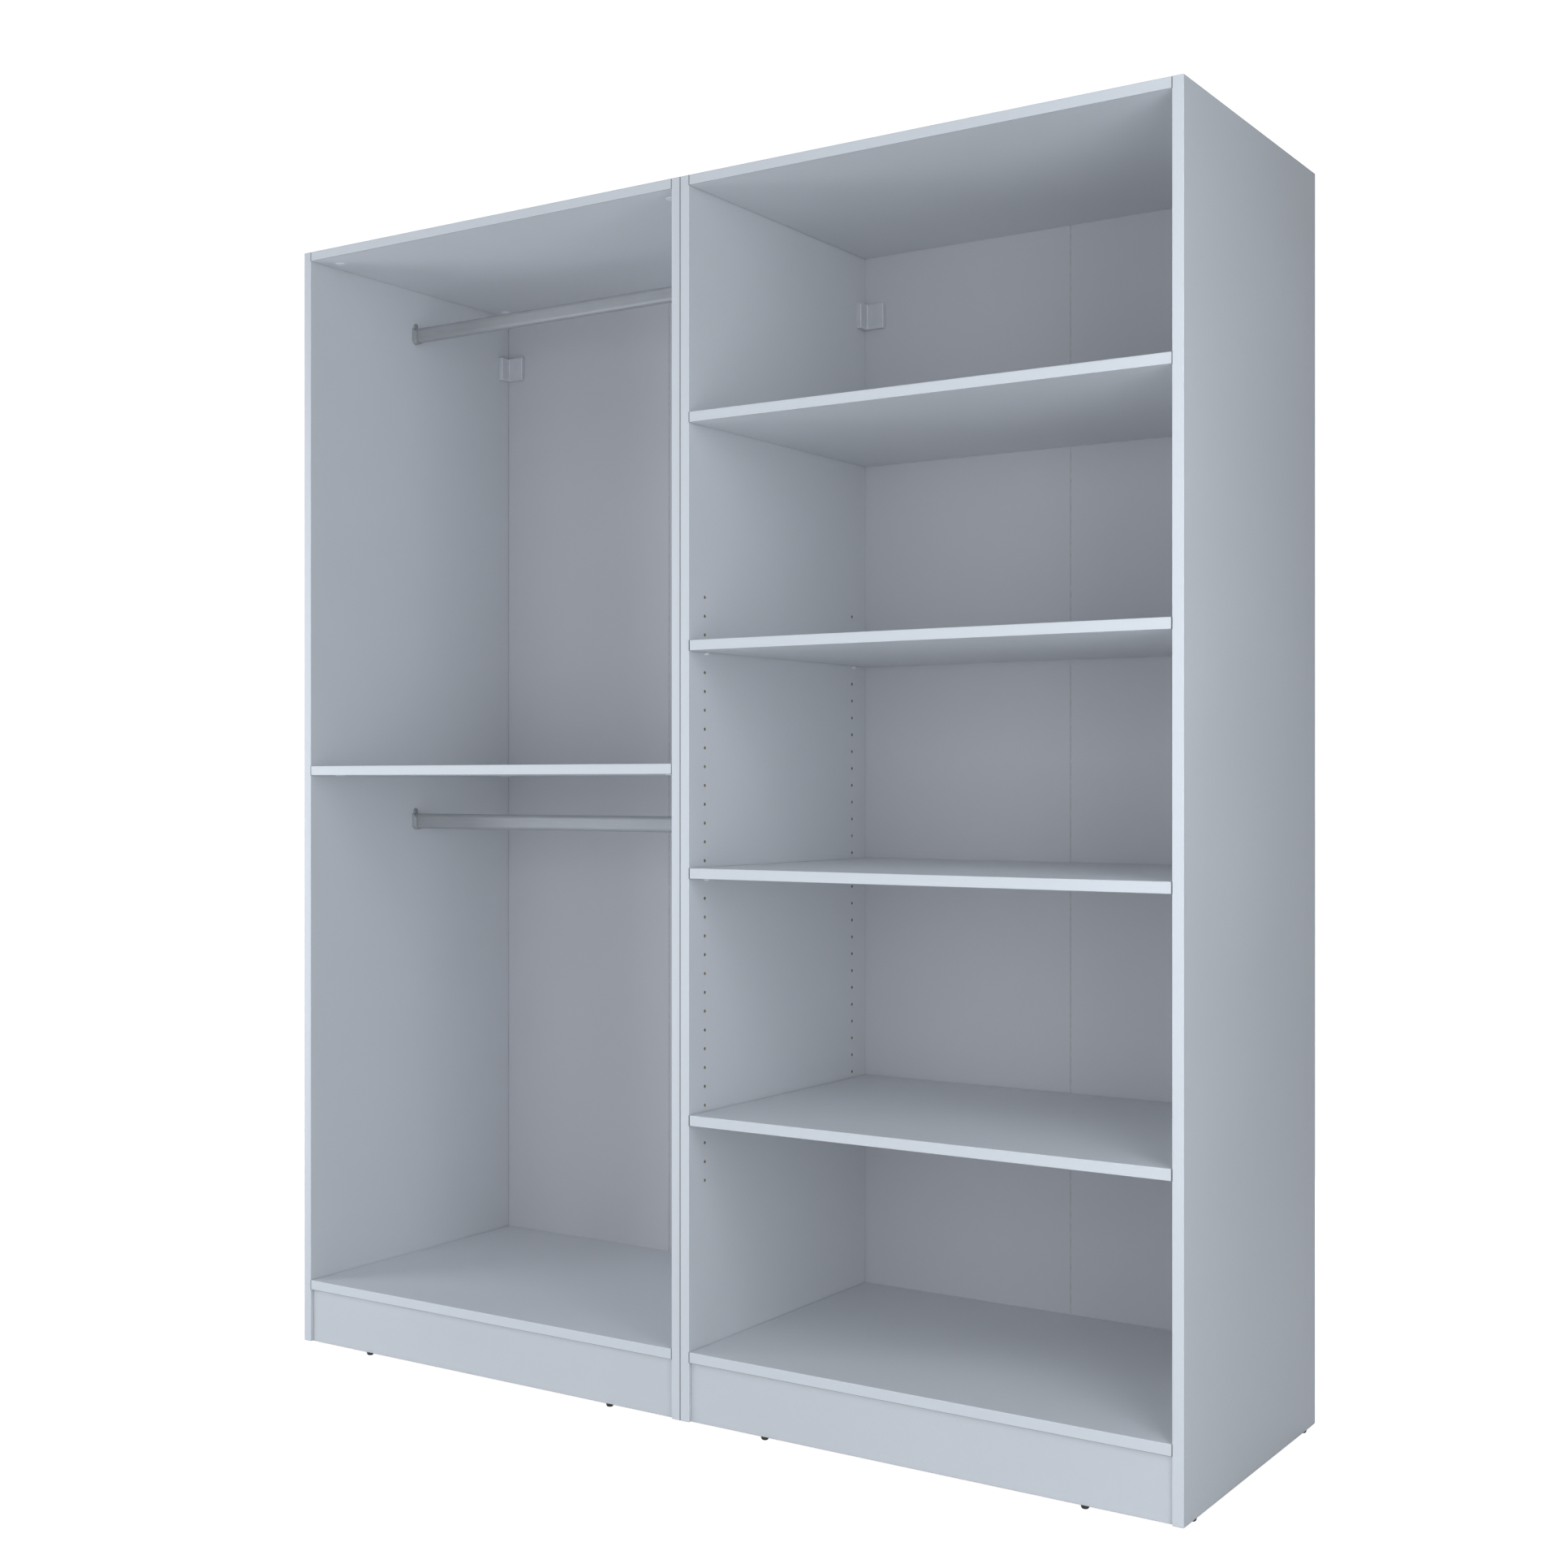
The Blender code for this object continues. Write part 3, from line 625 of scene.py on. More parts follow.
class Tree(Graph):
    """A Geometry Nodes tree that is being put together."""

    KINDS = {"length": "Float", "count": "Int", "place": "Vector", "finish": "Material"}

    def __init__(self, name, **sizes):
        """sizes gives each input's kind, under its name in lower case."""
        self.tree = bpy.data.node_groups.new(name, "GeometryNodeTree")
        super().__init__(self.tree)
        for side in ("INPUT", "OUTPUT"):
            self.tree.interface.new_socket("Geometry", in_out=side, socket_type="NodeSocketGeometry")
        self.keys = {}
        for label, kind in sizes.items():
            title = label.replace("_", " ").capitalize()
            socket = self.tree.interface.new_socket(
                title, in_out="INPUT", socket_type="NodeSocket" + self.KINDS[kind]
            )
            self.keys[label] = (title, socket.identifier)
        self.start = self.nodes.new("NodeGroupInput")
        self.end = self.nodes.new("NodeGroupOutput")
        self.given = self.start.outputs["Geometry"]

    def size(self, label):
        return self.start.outputs[self.keys[label][0]]

    def add(self, kind, settings=None, family="GeometryNode", **inputs):
        """The first output of a node with these settings, and with these inputs by name."""
        node = self.node(family + kind, **(settings or {}))
        for label, value in inputs.items():
            self.feed(node.inputs[label.replace("_", " ")], value)
        return node.outputs[0]

    def vector(self, x=0.0, y=0.0, z=0.0):
        return self.node("ShaderNodeCombineXYZ", x, y, z).outputs[0]

    def painted(self, geometry, finish, **selection):
        material = self.size(finish)
        return self.add("SetMaterial", Geometry=geometry, Material=material, **selection)

    def cut(self, solid, cutters):
        node = self.node("GeometryNodeMeshBoolean", operation="DIFFERENCE", solver="EXACT")
        self.feed(node.inputs["Mesh 1"], solid)
        for cutter in cutters:
            self.feed(node.inputs["Mesh 2"], cutter)
        return node.outputs["Mesh"]

    def choose(self, index, values):
        """The value that stands at an index in a list."""
        node = self.node("GeometryNodeIndexSwitch", data_type="FLOAT")
        while len(node.index_switch_items) < len(values):
            node.index_switch_items.new()
        for socket, value in zip(node.inputs, (index, *values)):
            self.feed(socket, value)
        return node.outputs[0]

    def finished(self, geometry, **selection):
        """Ends the tree: real geometry in the given finish."""
        real = self.add("RealizeInstances", Geometry=geometry)
        self.feed(self.end.inputs[0], self.painted(real, "finish", **selection))
        return self

    def make(self, name, mesh, **sizes):
        """The mesh that this tree makes from another mesh and these sizes."""
        obj = scratch_object(name, mesh)
        modifier = obj.modifiers.new(self.tree.name, "NODES")
        modifier.node_group = self.tree
        for label, value in sizes.items():
            modifier[self.keys[label][1]] = value
        return worked_out(obj)

    def turned_solid(self, profile):
        """A solid of revolution about Z. The profile gives shares of the radius and the length."""
        rows, sides = len(profile), self.size("sides")
        columns = self.math("ADD", sides, 1)
        grid = self.add("MeshGrid", Size_X=1.0, Size_Y=1.0, Vertices_X=columns, Vertices_Y=rows)
        index = self.add("InputIndex")
        column = self.math("FLOOR", self.math("DIVIDE", self.math("ADD", index, 0.5), rows))
        row = self.math("SUBTRACT", index, self.times(column, rows))
        angle = self.math("DIVIDE", self.times(column, 2 * math.pi), sides)
        radius, rise = (
            self.times(self.choose(row, shares), self.size(label))
            for shares, label in zip(zip(*profile), ("radius", "length"))
        )
        x, y = (self.times(radius, self.math(turn, angle)) for turn in ("COSINE", "SINE"))
        turned = self.add("SetPosition", Geometry=grid, Position=self.vector(x, y, rise))
        return self.add("MergeByDistance", Geometry=turned, Distance=MERGE_DISTANCE)

    def set_on_points(self, solid):
        """The solid on every point given, its Z along the point's direction, turned at random."""
        facing = self.add("InputNamedAttribute", {"data_type": "FLOAT_VECTOR"}, Name="facing")
        upright = self.add("AlignRotationToVector", {"axis": "Z"}, "FunctionNode", Vector=facing)
        turn = self.node("FunctionNodeRandomValue", data_type="FLOAT")
        for socket, value in zip(of_kind(turn.inputs, "VALUE"), (0.0, 2 * math.pi)):
            socket.default_value = value
        self.feed(turn.inputs["Seed"], self.size("seed"))
        amount = [socket for socket in of_kind(turn.outputs, "VALUE") if socket.enabled][0]
        spin = self.add("EulerToRotation", {}, "FunctionNode", Euler=self.vector(z=amount))
        local = {"rotation_space": "LOCAL"}
        rotation = self.add("RotateRotation", local, "FunctionNode", Rotation=upright, Rotate_By=spin)
        return self.add(
            "InstanceOnPoints", Points=self.given, Instance=solid, Rotation=rotation
        )


TURNED_SIZES = {"radius": "length", "length": "length", "sides": "count", "seed": "count", "finish": "finish"}


def turned_tree(name, profile):
    """A tree that sets one turned piece on every point."""
    tree = Tree(name, **TURNED_SIZES)
    return tree.finished(tree.set_on_points(tree.turned_solid(profile)))


def screw_tree(name, profile):
    """A tree that sets a turned screw with a crossed recess on every point."""
    tree = Tree(name, recess_width="length", recess_depth="length", **TURNED_SIZES)
    width = tree.size("recess_width")
    reach = tree.times(tree.size("radius"), 1.1)
    deep = tree.times(tree.size("recess_depth"), 2)
    head = tree.vector(z=tree.size("length"))
    bars = []
    for x, y in ((reach, width), (width, reach)):
        bar = tree.add("MeshCube", Size=tree.vector(x, y, deep))
        bars.append(tree.add("Transform", Geometry=bar, Translation=head))
    return tree.finished(tree.set_on_points(tree.cut(tree.turned_solid(profile), bars)))


def drilled_tree():
    """A tree that bores two rows of pin holes in a board's face, and nail holes in its underside."""
    lengths = ("hole_radius", "hole_depth", "pitch", "nail_radius", "nail_depth")
    places = ("front_start", "rear_start", "nail_start", "nail_step")
    tree = Tree(
        "drilled_rows", **dict.fromkeys(lengths, "length"), **dict.fromkeys(places, "place"),
        **dict.fromkeys(("rows", "sides"), "count"), **dict.fromkeys(("core", "finish"), "finish"),
    )
    bits = []
    for kind in ("hole", "nail"):
        deep = tree.times(tree.size(kind + "_depth"), 2)
        sizes = {"Vertices": tree.size("sides"), "Radius": tree.size(kind + "_radius"), "Depth": deep}
        bits.append(tree.add("MeshCylinder", **sizes))
    lying = tree.add("Transform", Geometry=bits[0], Rotation=(0.0, math.pi / 2, 0.0))
    upward = tree.vector(z=tree.size("pitch"))
    cutters = []
    for start, step, count, bit in (
        ("front_start", upward, tree.size("rows"), lying), ("rear_start", upward, tree.size("rows"), lying),
        ("nail_start", tree.size("nail_step"), 2, bits[1]),
    ):
        line = tree.add("MeshLine", Count=count, Start_Location=tree.size(start), Offset=step)
        row = tree.add("InstanceOnPoints", Points=line, Instance=bit)
        cutters.append(tree.painted(tree.add("RealizeInstances", Geometry=row), "core"))
    drilled = tree.cut(tree.painted(tree.given, "finish"), cutters)
    faced = tree.add("MaterialSelection", Material=tree.size("finish"))
    return tree.finished(drilled, Selection=faced)


def add_turned(tree, name, places, slot, finish, angle=SHARP_ANGLE, stands_for=(), **sizes):
    """A piece of the carcasses: what a tree sets on places, each given as (place, direction)."""
    points = bpy.data.meshes.new(name)
    points.from_pydata([place for place, _ in places], [], [])
    facing = points.attributes.new("facing", "FLOAT_VECTOR", "POINT")
    for item, (_, direction) in zip(facing.data, places):
        item.vector = direction
    mesh = tree.make(name, points, finish=finish, **sizes)
    smooth_above(mesh, angle)
    add_piece(name, mesh, CARCASS, stands_for=stands_for)


# Operators


class WARDROBE_OT_boards(Operator):
    """Melamine faces, banded front edges and bare chipboard for every board that CAD shows"""

    bl_idname = "wardrobe.boards"
    bl_label = "Boards"

    def execute(self, context):
        finishes, _ = chosen(context)
        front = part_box("left_bay_left_side")[0].y
        for name, boards, banded, raw, line, joint in (
            ("upright", PLAIN_SIDES, (FRONT, UP), (REAR, DOWN), front, upright_joints),
            ("level", sum(LEVELS.values(), ()), (FRONT,), (REAR, LEFT, RIGHT), front, level_joints),
            ("plinth", PLINTHS, (), (UP, DOWN, LEFT, RIGHT), None, None),
        ):
            finish = melamine_finish("melamine_" + name, finishes, banded, raw, line, joint)
            for board in boards:
                dress(board, finish)
        return {"FINISHED"}


def level_joints(finish):
    """1 on the edges at a level's two ends."""
    return finish.facing((LEFT, RIGHT), LEANING)


def upright_joints(finish):
    """1 where the two bays meet, and where a side meets a level."""
    x, _, z = finish.split(finish.place)
    left_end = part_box("left_bay_right_side")[1].x
    right_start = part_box("right_bay_left_side")[0].x
    found = [finish.math("COMPARE", x, (left_end + right_start) / 2, JOINT_REACH)]
    for bay, levels in LEVELS.items():
        faces = (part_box(f"{bay}_left_side")[1].x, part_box(f"{bay}_right_side")[0].x)
        low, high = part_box(levels[0])
        beside = finish.near_any(x, faces, JOINT_REACH)
        level_with = finish.near_any(z, [middle(name).z for name in levels], (high.z - low.z) / 2)
        found.append(finish.times(beside, level_with))
    return finish.greatest(found)


class WARDROBE_OT_drilled_sides(Operator):
    """The right bay's two sides, with their rows of round pin holes"""

    bl_idname = "wardrobe.drilled_sides"
    bl_label = "Drilled Sides"

    def execute(self, context):
        finishes, fittings = chosen(context)
        core = core_finish(finishes)
        tree = drilled_tree()
        for side, inward in SIDES.items():
            name = f"right_bay_{side}_side"
            low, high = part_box(name)
            face = high.x if inward > 0 else low.x
            starts = []
            for place in ("front", "rear"):
                pin = middle(f"lower_pinned_shelf_{side}_{place}_pin")
                starts.append((face, pin.y, pin.z - fittings.pins_below * fittings.pin_pitch))
            nails = [middle(f"right_bay_{side}_{place}_glide") for place in ("front", "rear")]
            mesh = tree.make(
                name + "_slab", eased_box(name, low, high, fittings.board_rounding),
                hole_radius=fittings.hole_radius, hole_depth=fittings.hole_depth, pitch=fittings.pin_pitch,
                rows=fittings.pin_rows, front_start=starts[0], rear_start=starts[1],
                nail_radius=fittings.glide_hole_radius, nail_depth=fittings.glide_hole_depth,
                nail_start=(nails[0].x, nails[0].y, low.z), nail_step=(0.0, nails[1].y - nails[0].y, 0.0),
                sides=24, core=core, finish=bpy.data.materials["melamine_upright"],
            )
            add_piece(name + "_drilled", mesh, CARCASS, stands_for=[name])
        return {"FINISHED"}


class WARDROBE_OT_backs(Operator):
    """The back sheets in two halves for each bay, and the tape behind each seam"""

    bl_idname = "wardrobe.backs"
    bl_label = "Backs"

    def execute(self, context):
        finishes, fittings = chosen(context)
        sheet_finish = back_finish(finishes)
        tape = tape_finish(finishes)
        for bay in BAYS:
            for half in SIDES:
                name = f"{bay}_back_{half}"
                low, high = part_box(name)
                high.y -= fittings.nail_head
                sheet = eased_box(name, low, high, fittings.sheet_rounding)
                add_piece(name + "_sheet", sheet, CARCASS, sheet_finish, [name])
            strip = tape_strip(fittings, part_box(f"{bay}_back_left"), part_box(f"{bay}_back_right"))
            add_piece(f"{bay}_seam_tape", strip, CARCASS, tape)
        return {"FINISHED"}


def tape_strip(fittings, left_sheet, right_sheet):
    """A flat tape whose rib fills the seam up to its groove."""
    (_, front, foot), (left_end, back, head) = left_sheet
    right_end = right_sheet[0].x
    seam = (left_end + right_end) / 2
    half_width = fittings.tape_width / 2
    half_gap = (right_end - left_end) / 2 - 2 * HAIRLINE
    groove = front + fittings.seam_groove
    inner = back - fittings.nail_head + HAIRLINE
    outer = inner + TAPE_THICKNESS
    right_half = ((half_gap, groove), (half_gap, inner), (half_width, inner), (half_width, outer))
    outline = right_half + tuple((-x, y) for x, y in reversed(right_half))
    foot, head = foot + TAPE_END, head - TAPE_END
    return prism("tape", outline, lambda x, y: (seam + x, y, foot), lambda x, y: (seam + x, y, head))


class WARDROBE_OT_back_nails(Operator):
    """Nails that hold the back sheets to the boards behind which they lie"""

    bl_idname = "wardrobe.back_nails"
    bl_label = "Back Nails"

    def execute(self, context):
        _, fittings = chosen(context)
        places = []
        for bay in BAYS:
            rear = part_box(f"{bay}_back_left")[1].y - fittings.nail_head
            heights = sorted(middle(name).z for name in LEVELS[bay] if name not in PINNED_SHELVES)
            ends = [middle(f"{bay}_{side}_side").x for side in SIDES]
            for start, end in zip(heights, heights[1:]):
                for height in stepped(start, end, fittings.nail_spacing)[:-1]:
                    places += [(x, height) for x in ends]
            places += [(x, heights[-1]) for x in ends]
            inner = stepped(*ends, fittings.nail_spacing)[1:-1]
            places += [(x, height) for height in heights for x in inner]
        add_turned(
            turned_tree("back_nails", BACK_NAIL), "back_nails", [((x, rear, z), REAR) for x, z in places],
            "cup", bpy.data.materials["zinc_screws"], angle=50,
            radius=fittings.nail_radius, length=fittings.nail_head, sides=16, seed=3,
        )
        return {"FINISHED"}


class WARDROBE_OT_rails(Operator):
    """The two oval hanging rails of drawn tube"""

    bl_idname = "wardrobe.rails"
    bl_label = "Hanging Rails"

    def execute(self, context):
        finishes, fittings = chosen(context)
        wall = fittings.rail_wall
        steel = metal_finish("matt_silver", finishes.steel, 60, 0.5, 0.000012, 0.4)
        for rail, body in RAILS.items():
            low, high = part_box(rail)
            center = (low + high) / 2
            width = high.y - low.y
            rise = (high.z - low.z - width) / 2
            shape = bmesh.new()
            rings = []
            for x, inset in ((low.x, 0), (high.x, 0), (high.x, wall), (low.x, wall)):
                radius = width / 2 - inset
                outline = arc((0, rise), radius, 0, 180) + arc((0, -rise), radius, 180, 360)
                rings.append([shape.verts.new((x, center.y + y, center.z + z)) for y, z in outline])
            for index, ring in enumerate(rings):
                join_rings(shape, ring, rings[(index + 1) % len(rings)])
            bmesh.ops.recalc_face_normals(shape, faces=shape.faces)
            mesh = mesh_from(rail, shape)
            smooth_above(mesh)
            add_piece(rail + "_tube", mesh, body, steel, [rail])
        return {"FINISHED"}


class WARDROBE_OT_cups(Operator):
    """The four open cups that hold the rails, each with a round-topped screw tab"""

    bl_idname = "wardrobe.cups"
    bl_label = "Rail Cups"

    def execute(self, context):
        finishes, fittings = chosen(context)
        zinc = metal_finish("zinc_cups", finishes.zinc, 1, 0.45, 0.00002, 0.5)
        metal_finish("zinc_screws", finishes.zinc, 1, 0.32, 0.00001)
        for rail in RAILS:
            for side, outward in SIDES.items():
                name = f"{rail}_{side}_cup"
                add_piece(name + "_casting", cup(fittings, rail, name, outward), CARCASS, zinc, [name])
        return {"FINISHED"}


def cup(fittings, rail, name, outward):
    """A plate on the side panel, and a trough that stands out from it and opens upwards."""
    low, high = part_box(name)
    rail_low, rail_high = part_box(rail)
    center = (rail_low + rail_high) / 2
    wall = low.x if outward > 0 else high.x
    rim = (rail_high.z - rail_low.z) / 2
    inner = (rail_high.y - rail_low.y) / 2 + fittings.cup_clearance
    outer = inner + fittings.cup_wall
    flange = (high.y - low.y) / 2
    shoulder = rim + flange - outer
    bowl = (0, -(center.z - low.z - flange))
    tab = fittings.cup_tab_width / 2
    tab_center = (0, high.z - center.z - tab)
    plate_outline = arc(bowl, flange, 180, 360) + [(flange, shoulder), (tab, shoulder)]
    plate_outline += arc(tab_center, tab, 0, 180, 16) + [(-tab, shoulder), (-flange, shoulder)]
    trough_outline = arc(bowl, outer, 180, 360) + [(outer, rim), (inner, rim)]
    trough_outline += arc(bowl, inner, 360, 180) + [(-inner, rim), (-outer, rim)]

    def at(x, drop=0.0):
        """A function that stands an outline's point up at a distance from the wall."""

        def place(y, z):
            fallen = drop if z >= rim else 0.0
            return (wall + outward * x, center.y + y, center.z + z - fallen)

        return place

    plate = prism(name, plate_outline, at(0.0), at(fittings.cup_plate))
    free_end = at(high.x - low.x, fittings.cup_rim_drop)
    trough = prism("trough", trough_outline, at(fittings.cup_plate / 2), free_end)
    holder = scratch_object(name + "_soft", combined(plate, trough, "UNION"))
    bevel = holder.modifiers.new("eased_edges", "BEVEL")
    bevel.width = fittings.cup_rounding
    bevel.segments = 2
    bevel.limit_method = "ANGLE"
    bevel.angle_limit = math.radians(BEVEL_ANGLE)
    soft = worked_out(holder)
    smooth_above(soft)
    return soft


class WARDROBE_OT_covers(Operator):
    """The moulded covers in the rear corners, and the steel brackets inside them"""

    bl_idname = "wardrobe.covers"
    bl_label = "Corner Covers"

    def execute(self, context):
        finishes, fittings = chosen(context)
        plastic = plastic_finish("cover_plastic", finishes.cover, 0.0006, 0.00002, 0.42, 1.5)
        steel = metal_finish("galvanised_steel", finishes.steel, 1, 0.4, 0.00003)
        for corner, inward in CORNERS.items():
            shell = cover(fittings, corner, inward)
            add_piece(corner + "_cover_shell", shell, CARCASS, plastic, [corner + "_cover"])
            dress(corner + "_bracket", steel)
        return {"FINISHED"}


def cover(fittings, corner, toward):
    """An L-shaped shell, open towards the side and the back, its outer edges rounded."""
    low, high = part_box(corner + "_cover")
    start = Vector((low.x if toward > 0 else high.x, high.y))
    legs = Vector((high.x - low.x, high.y - low.y))
    shell = bent(None, start, toward, legs, fittings.cover_thickness, low.z, high.z)
    edges = []
    for edge in shell.edges:
        off_side, off_back = (
            any(abs(vert.co[axis] - start[axis]) > SAME_PLACE for vert in edge.verts) for axis in (0, 1)
        )
        if off_side and off_back:
            edges.append(edge)
    ease(shell, edges, fittings.cover_rounding, 3)
    wall = fittings.cover_wall
    past = 0.001
    room_start = start + Vector((-toward * past, past))
    room_legs = legs - Vector((wall - past, wall - past))
    deep = fittings.cover_thickness - wall + past
    room = bent("room", room_start, toward, room_legs, deep, low.z + wall, high.z - wall)
    return combined(mesh_from(corner, shell), room, "DIFFERENCE")


def bent(name, start, toward, legs, thick, low, high):
    """An L between two heights, one leg along the back and one forward along the side."""
    back_leg, side_leg = legs
    outline = (
        (0, 0), (0, -side_leg), (thick, -side_leg), (thick, -thick), (back_leg, -thick), (back_leg, 0)
    )

    def at(height):
        return lambda x, y: (start.x + toward * x, start.y + y, height)

    return prism(name, outline, at(low), at(high))


class WARDROBE_OT_screws(Operator):
    """Cross-recessed screws in the cups' tabs and in the corner brackets"""

    bl_idname = "wardrobe.screws"
    bl_label = "Screws"

    def execute(self, context):
        _, fittings = chosen(context)
        seat = fittings.screw_length * HEAD_SEAT
        cup_places = []
        for rail in RAILS:
            for side, turn in SIDES.items():
                low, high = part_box(f"{rail}_{side}_cup")
                wall = low.x if turn > 0 else high.x
                x = wall + turn * (fittings.cup_plate - seat)
                height = high.z - fittings.cup_tab_width / 2
                cup_places.append(((x, (low.y + high.y) / 2, height), (turn, 0, 0)))
        bracket_places = []
        for corner, turn in CORNERS.items():
            low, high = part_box(corner + "_bracket")
            corner_x = low.x if turn > 0 else high.x
            center = (low + high) / 2
            on_back = corner_x + turn * (high.x - low.x) * BRACKET_SCREW
            on_side = high.y - (high.y - low.y) * BRACKET_SCREW
            sunk = BRACKET_SHEET - seat
            bracket_places.append(((on_back, high.y - sunk, center.z), FRONT))
            bracket_places.append(((corner_x + turn * sunk, on_side, center.z), (turn, 0, 0)))
        tree = screw_tree("screws", SCREW)
        for name, places, slot in (
            ("cup_screws", cup_places, "cup"), ("bracket_screws", bracket_places, "bracket")
        ):
            add_turned(
                tree, name, places, slot, bpy.data.materials["zinc_screws"], angle=32,
                radius=fittings.screw_radius, length=fittings.screw_length,
                recess_width=fittings.screw_radius * RECESS_WIDTH,
                recess_depth=fittings.screw_length * RECESS_DEPTH, sides=32, seed=7,
            )
        return {"FINISHED"}


class WARDROBE_OT_pins(Operator):
    """The twelve pins under the adjustable shelves"""

    bl_idname = "wardrobe.pins"
    bl_label = "Shelf Pins"

    def execute(self, context):
        finishes, _ = chosen(context)
        plastic = plastic_finish("pin_plastic", finishes.cap)
        names = []
        places = []
        for shelf in PINNED_SHELVES:
            for side, inward in SIDES.items():
                for place in ("front", "rear"):
                    names.append(f"{shelf}_{side}_{place}_pin")
                    low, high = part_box(names[-1])
                    start = (low + high) / 2
                    start.x = low.x if inward > 0 else high.x
                    places.append((start, (inward, 0, 0)))
        add_turned(
            turned_tree("shelf_pins", PIN), "shelf_pins", places, "pin", plastic, stands_for=names,
            radius=(high.y - low.y) / 2, length=high.x - low.x, sides=24, seed=1,
        )
        return {"FINISHED"}


class WARDROBE_OT_glides(Operator):
    """The nail-in glides under the sides and the plinths"""

    bl_idname = "wardrobe.glides"
    bl_label = "Glides"

    def execute(self, context):
        finishes, _ = chosen(context)
        plastic = plastic_finish("glide_plastic", finishes.glide, 0.0008, 0.00003, 0.5)
        spots = ("left_front", "left_rear", "right_front", "right_rear", "plinth_left", "plinth_right")
        names = [f"{bay}_{spot}_glide" for bay in BAYS for spot in spots]
        low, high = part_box(names[0])
        radius = (high.x - low.x) / 2
        pad_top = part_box("left_bay_left_side")[0].z - PAD_GAP
        pad_height = pad_top - low.z
        centers = [middle(name) for name in names]
        add_turned(
            turned_tree("glide_pads", PAD), "glide_pads", [((x, y, pad_top), DOWN) for x, y, _ in centers],
            "glide", plastic, stands_for=names, radius=radius, length=pad_height, sides=40, seed=5,
        )
        nail_length = high.z - low.z - pad_height * GLIDE_NAIL_SUNK
        head = 1 - pad_height * GLIDE_NAIL_HEAD / nail_length
        nail = ((0, 0), (0.53, 0.12), (0.53, head), (0.97, head), (1, head + 0.006), (0.9, 0.995), (0, 1))
        add_turned(
            turned_tree("glide_nails", nail), "glide_nails", [((x, y, high.z), DOWN) for x, y, _ in centers],
            "glide", bpy.data.materials["zinc_screws"],
            radius=radius * GLIDE_NAIL, length=nail_length, sides=20, seed=5,
        )
        return {"FINISHED"}


class WARDROBE_OT_cam_caps(Operator):
    """The caps over the cam fittings under the left bay's top and middle shelf"""

    bl_idname = "wardrobe.cam_caps"
    bl_label = "Cam Caps"

    def execute(self, context):
        finishes, fittings = chosen(context)
        plastic = plastic_finish("cap_plastic", finishes.cap)
        places = []
        for name in CAPPED_LEVELS:
            low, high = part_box(name)
            for x in (low.x + fittings.cap_inset, high.x - fittings.cap_inset):
                for y in (low.y + fittings.cap_front, high.y - fittings.cap_rear):
                    places.append(((x, y, low.z - HAIRLINE), DOWN))
        add_turned(
            turned_tree("cam_caps", CAP), "cam_caps", places, "pin", plastic,
            radius=fittings.cap_radius, length=fittings.cap_height, sides=48, seed=2,
        )
        return {"FINISHED"}


class WARDROBE_OT_stage(Operator):
    """A pale floor, soft studio lights, white surroundings and the camera"""

    bl_idname = "wardrobe.stage"
    bl_label = "Stage"

    def execute(self, context):
        stage = context.scene.wardrobe_stage
        context.scene.view_settings.view_transform = "Standard"
        add_floor(stage)
        add_world(context, stage)
        for name, _, _, place, target, size in SOFTBOXES:
            add_softbox(name, getattr(stage, name), place, target, size, stage.tint)
        camera = bpy.data.cameras.new("camera")
        camera.lens = stage.lens
        camera.clip_end = VIEW_DISTANCE
        holder = scratch_object("camera", camera)
        holder.location = stage.camera_place
        holder.rotation_euler = (math.pi / 2, 0, stage.camera_turn)
        context.scene.camera = holder
        return {"FINISHED"}


def add_floor(stage):
    """A faintly clouded floor, which is lifted to white in view only."""
    finish = Finish("studio_floor")
    clouds = finish.noise(0.6, detail=2)
    base = finish.blend(finish.stretch(clouds), shade(stage.floor, 0.985), stage.floor)
    grain = finish.bump(finish.noise(0.004, detail=2), 0.00005)
    material = finish.done(base, finish.stretch(clouds, new_low=0.85, new_high=0.9), grain)
    finish.feed(finish.shader.inputs["Emission Color"], (1, 1, 1))
    seen = finish.nodes.new("ShaderNodeLightPath").outputs["Is Camera Ray"]
    finish.feed(finish.shader.inputs["Emission Strength"], finish.times(seen, stage.floor_glow))
    shape = bmesh.new()
    bmesh.ops.create_grid(shape, x_segments=1, y_segments=1, size=FLOOR_HALF_WIDTH)
    floor = scratch_object("floor", mesh_from("floor", shape))
    floor.data.materials.append(material)


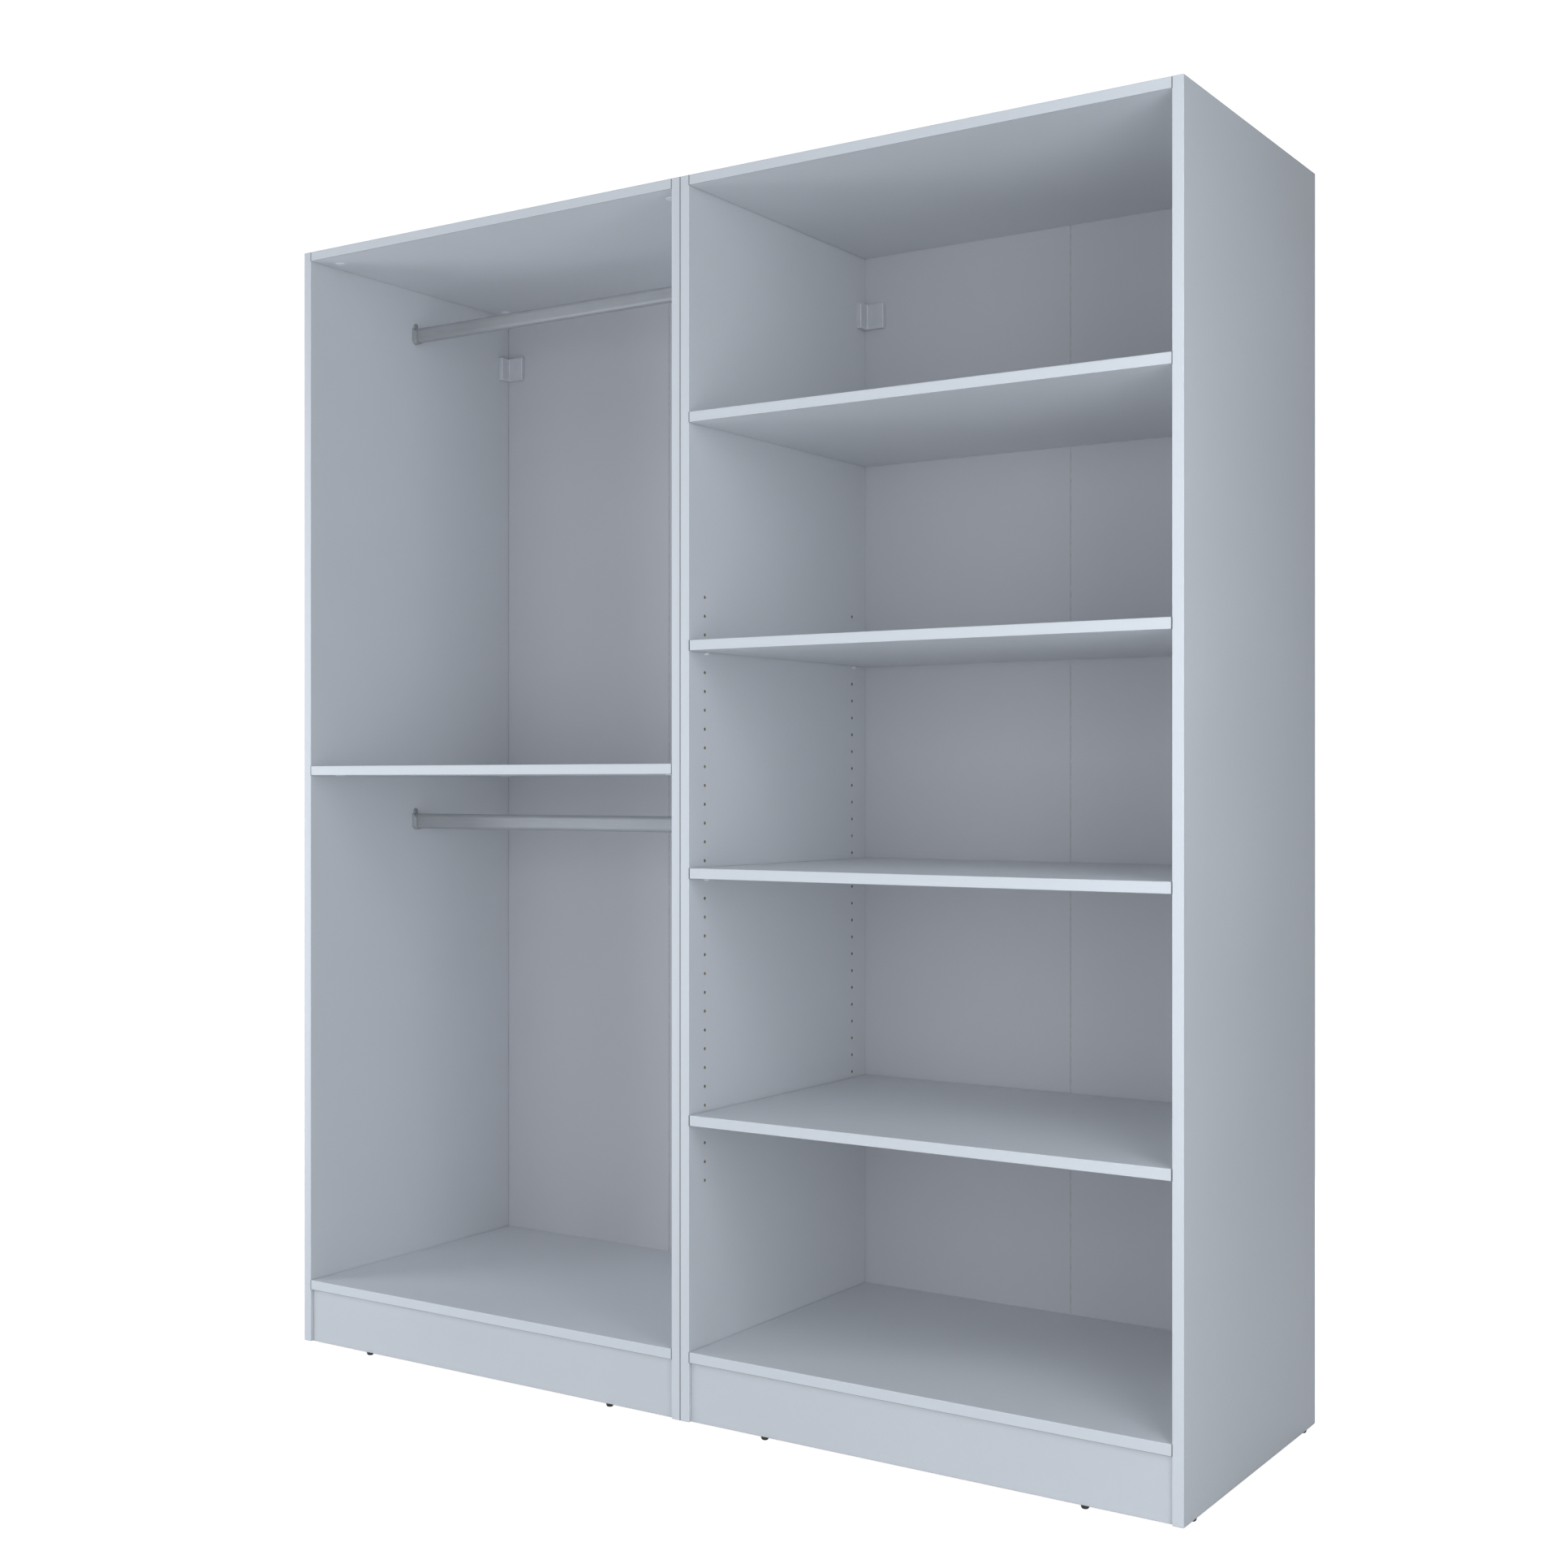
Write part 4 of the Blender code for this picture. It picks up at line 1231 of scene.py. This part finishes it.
def add_world(context, stage):
    """White to the camera, and a softer light on the object."""
    world = bpy.data.worlds.new("surroundings")
    context.scene.world = world
    world.use_nodes = True
    graph = Graph(world.node_tree)
    background = graph.nodes["Background"].inputs
    seen = graph.nodes.new("ShaderNodeLightPath").outputs["Is Camera Ray"]
    strength = graph.stretch(seen, 0.0, 1.0, stage.surroundings, stage.backdrop)
    graph.feed(background["Strength"], strength)
    graph.feed(background["Color"], graph.blend(seen, stage.tint, (1, 1, 1)))


def add_softbox(name, power, place, target, size, tint):
    light = bpy.data.lights.new(name, "AREA")
    light.shape = "RECTANGLE"
    light.size, light.size_y = size
    light.energy = power
    light.color = tint
    lamp = scratch_object(name, light)
    lamp.location = place
    lamp.rotation_euler = (Vector(target) - Vector(place)).to_track_quat("-Z", "Y").to_euler()
    lamp.visible_camera = False


OPERATORS = (
    WARDROBE_OT_boards, WARDROBE_OT_drilled_sides, WARDROBE_OT_cups, WARDROBE_OT_backs,
    WARDROBE_OT_back_nails, WARDROBE_OT_rails, WARDROBE_OT_covers, WARDROBE_OT_screws, WARDROBE_OT_pins,
    WARDROBE_OT_glides, WARDROBE_OT_cam_caps, WARDROBE_OT_stage,
)
GROUPS = {
    "wardrobe_finishes": WardrobeFinishSettings, "wardrobe_fittings": WardrobeFittingSettings,
    "wardrobe_stage": WardrobeStageSettings,
}


class WARDROBE_PT_sidebar(Panel):
    """The wardrobe's pieces, one button each, with their sizes and colours"""

    bl_label = "Open Wardrobe"
    bl_idname = "WARDROBE_PT_sidebar"
    bl_space_type = "VIEW_3D"
    bl_region_type = "UI"
    bl_category = "Wardrobe"

    def draw(self, context):
        for operator in OPERATORS:
            self.layout.operator(operator.bl_idname)
        for pointer in GROUPS:
            settings = getattr(context.scene, pointer)
            box = self.layout.box()
            box.label(text=pointer.replace("_", " ").title())
            for label in type(settings).__annotations__:
                box.prop(settings, label)


CLASSES = (*GROUPS.values(), *OPERATORS, WARDROBE_PT_sidebar)


def register():
    for item in CLASSES:
        bpy.utils.register_class(item)
    for pointer, group in GROUPS.items():
        setattr(bpy.types.Scene, pointer, PointerProperty(type=group))


def unregister():
    for pointer in GROUPS:
        delattr(bpy.types.Scene, pointer)
    for item in reversed(CLASSES):
        bpy.utils.unregister_class(item)


def main():
    register()
    for operator in OPERATORS:
        family, name = operator.bl_idname.split(".")
        getattr(getattr(bpy.ops, family), name)()


if __name__ == "__main__":
    main()
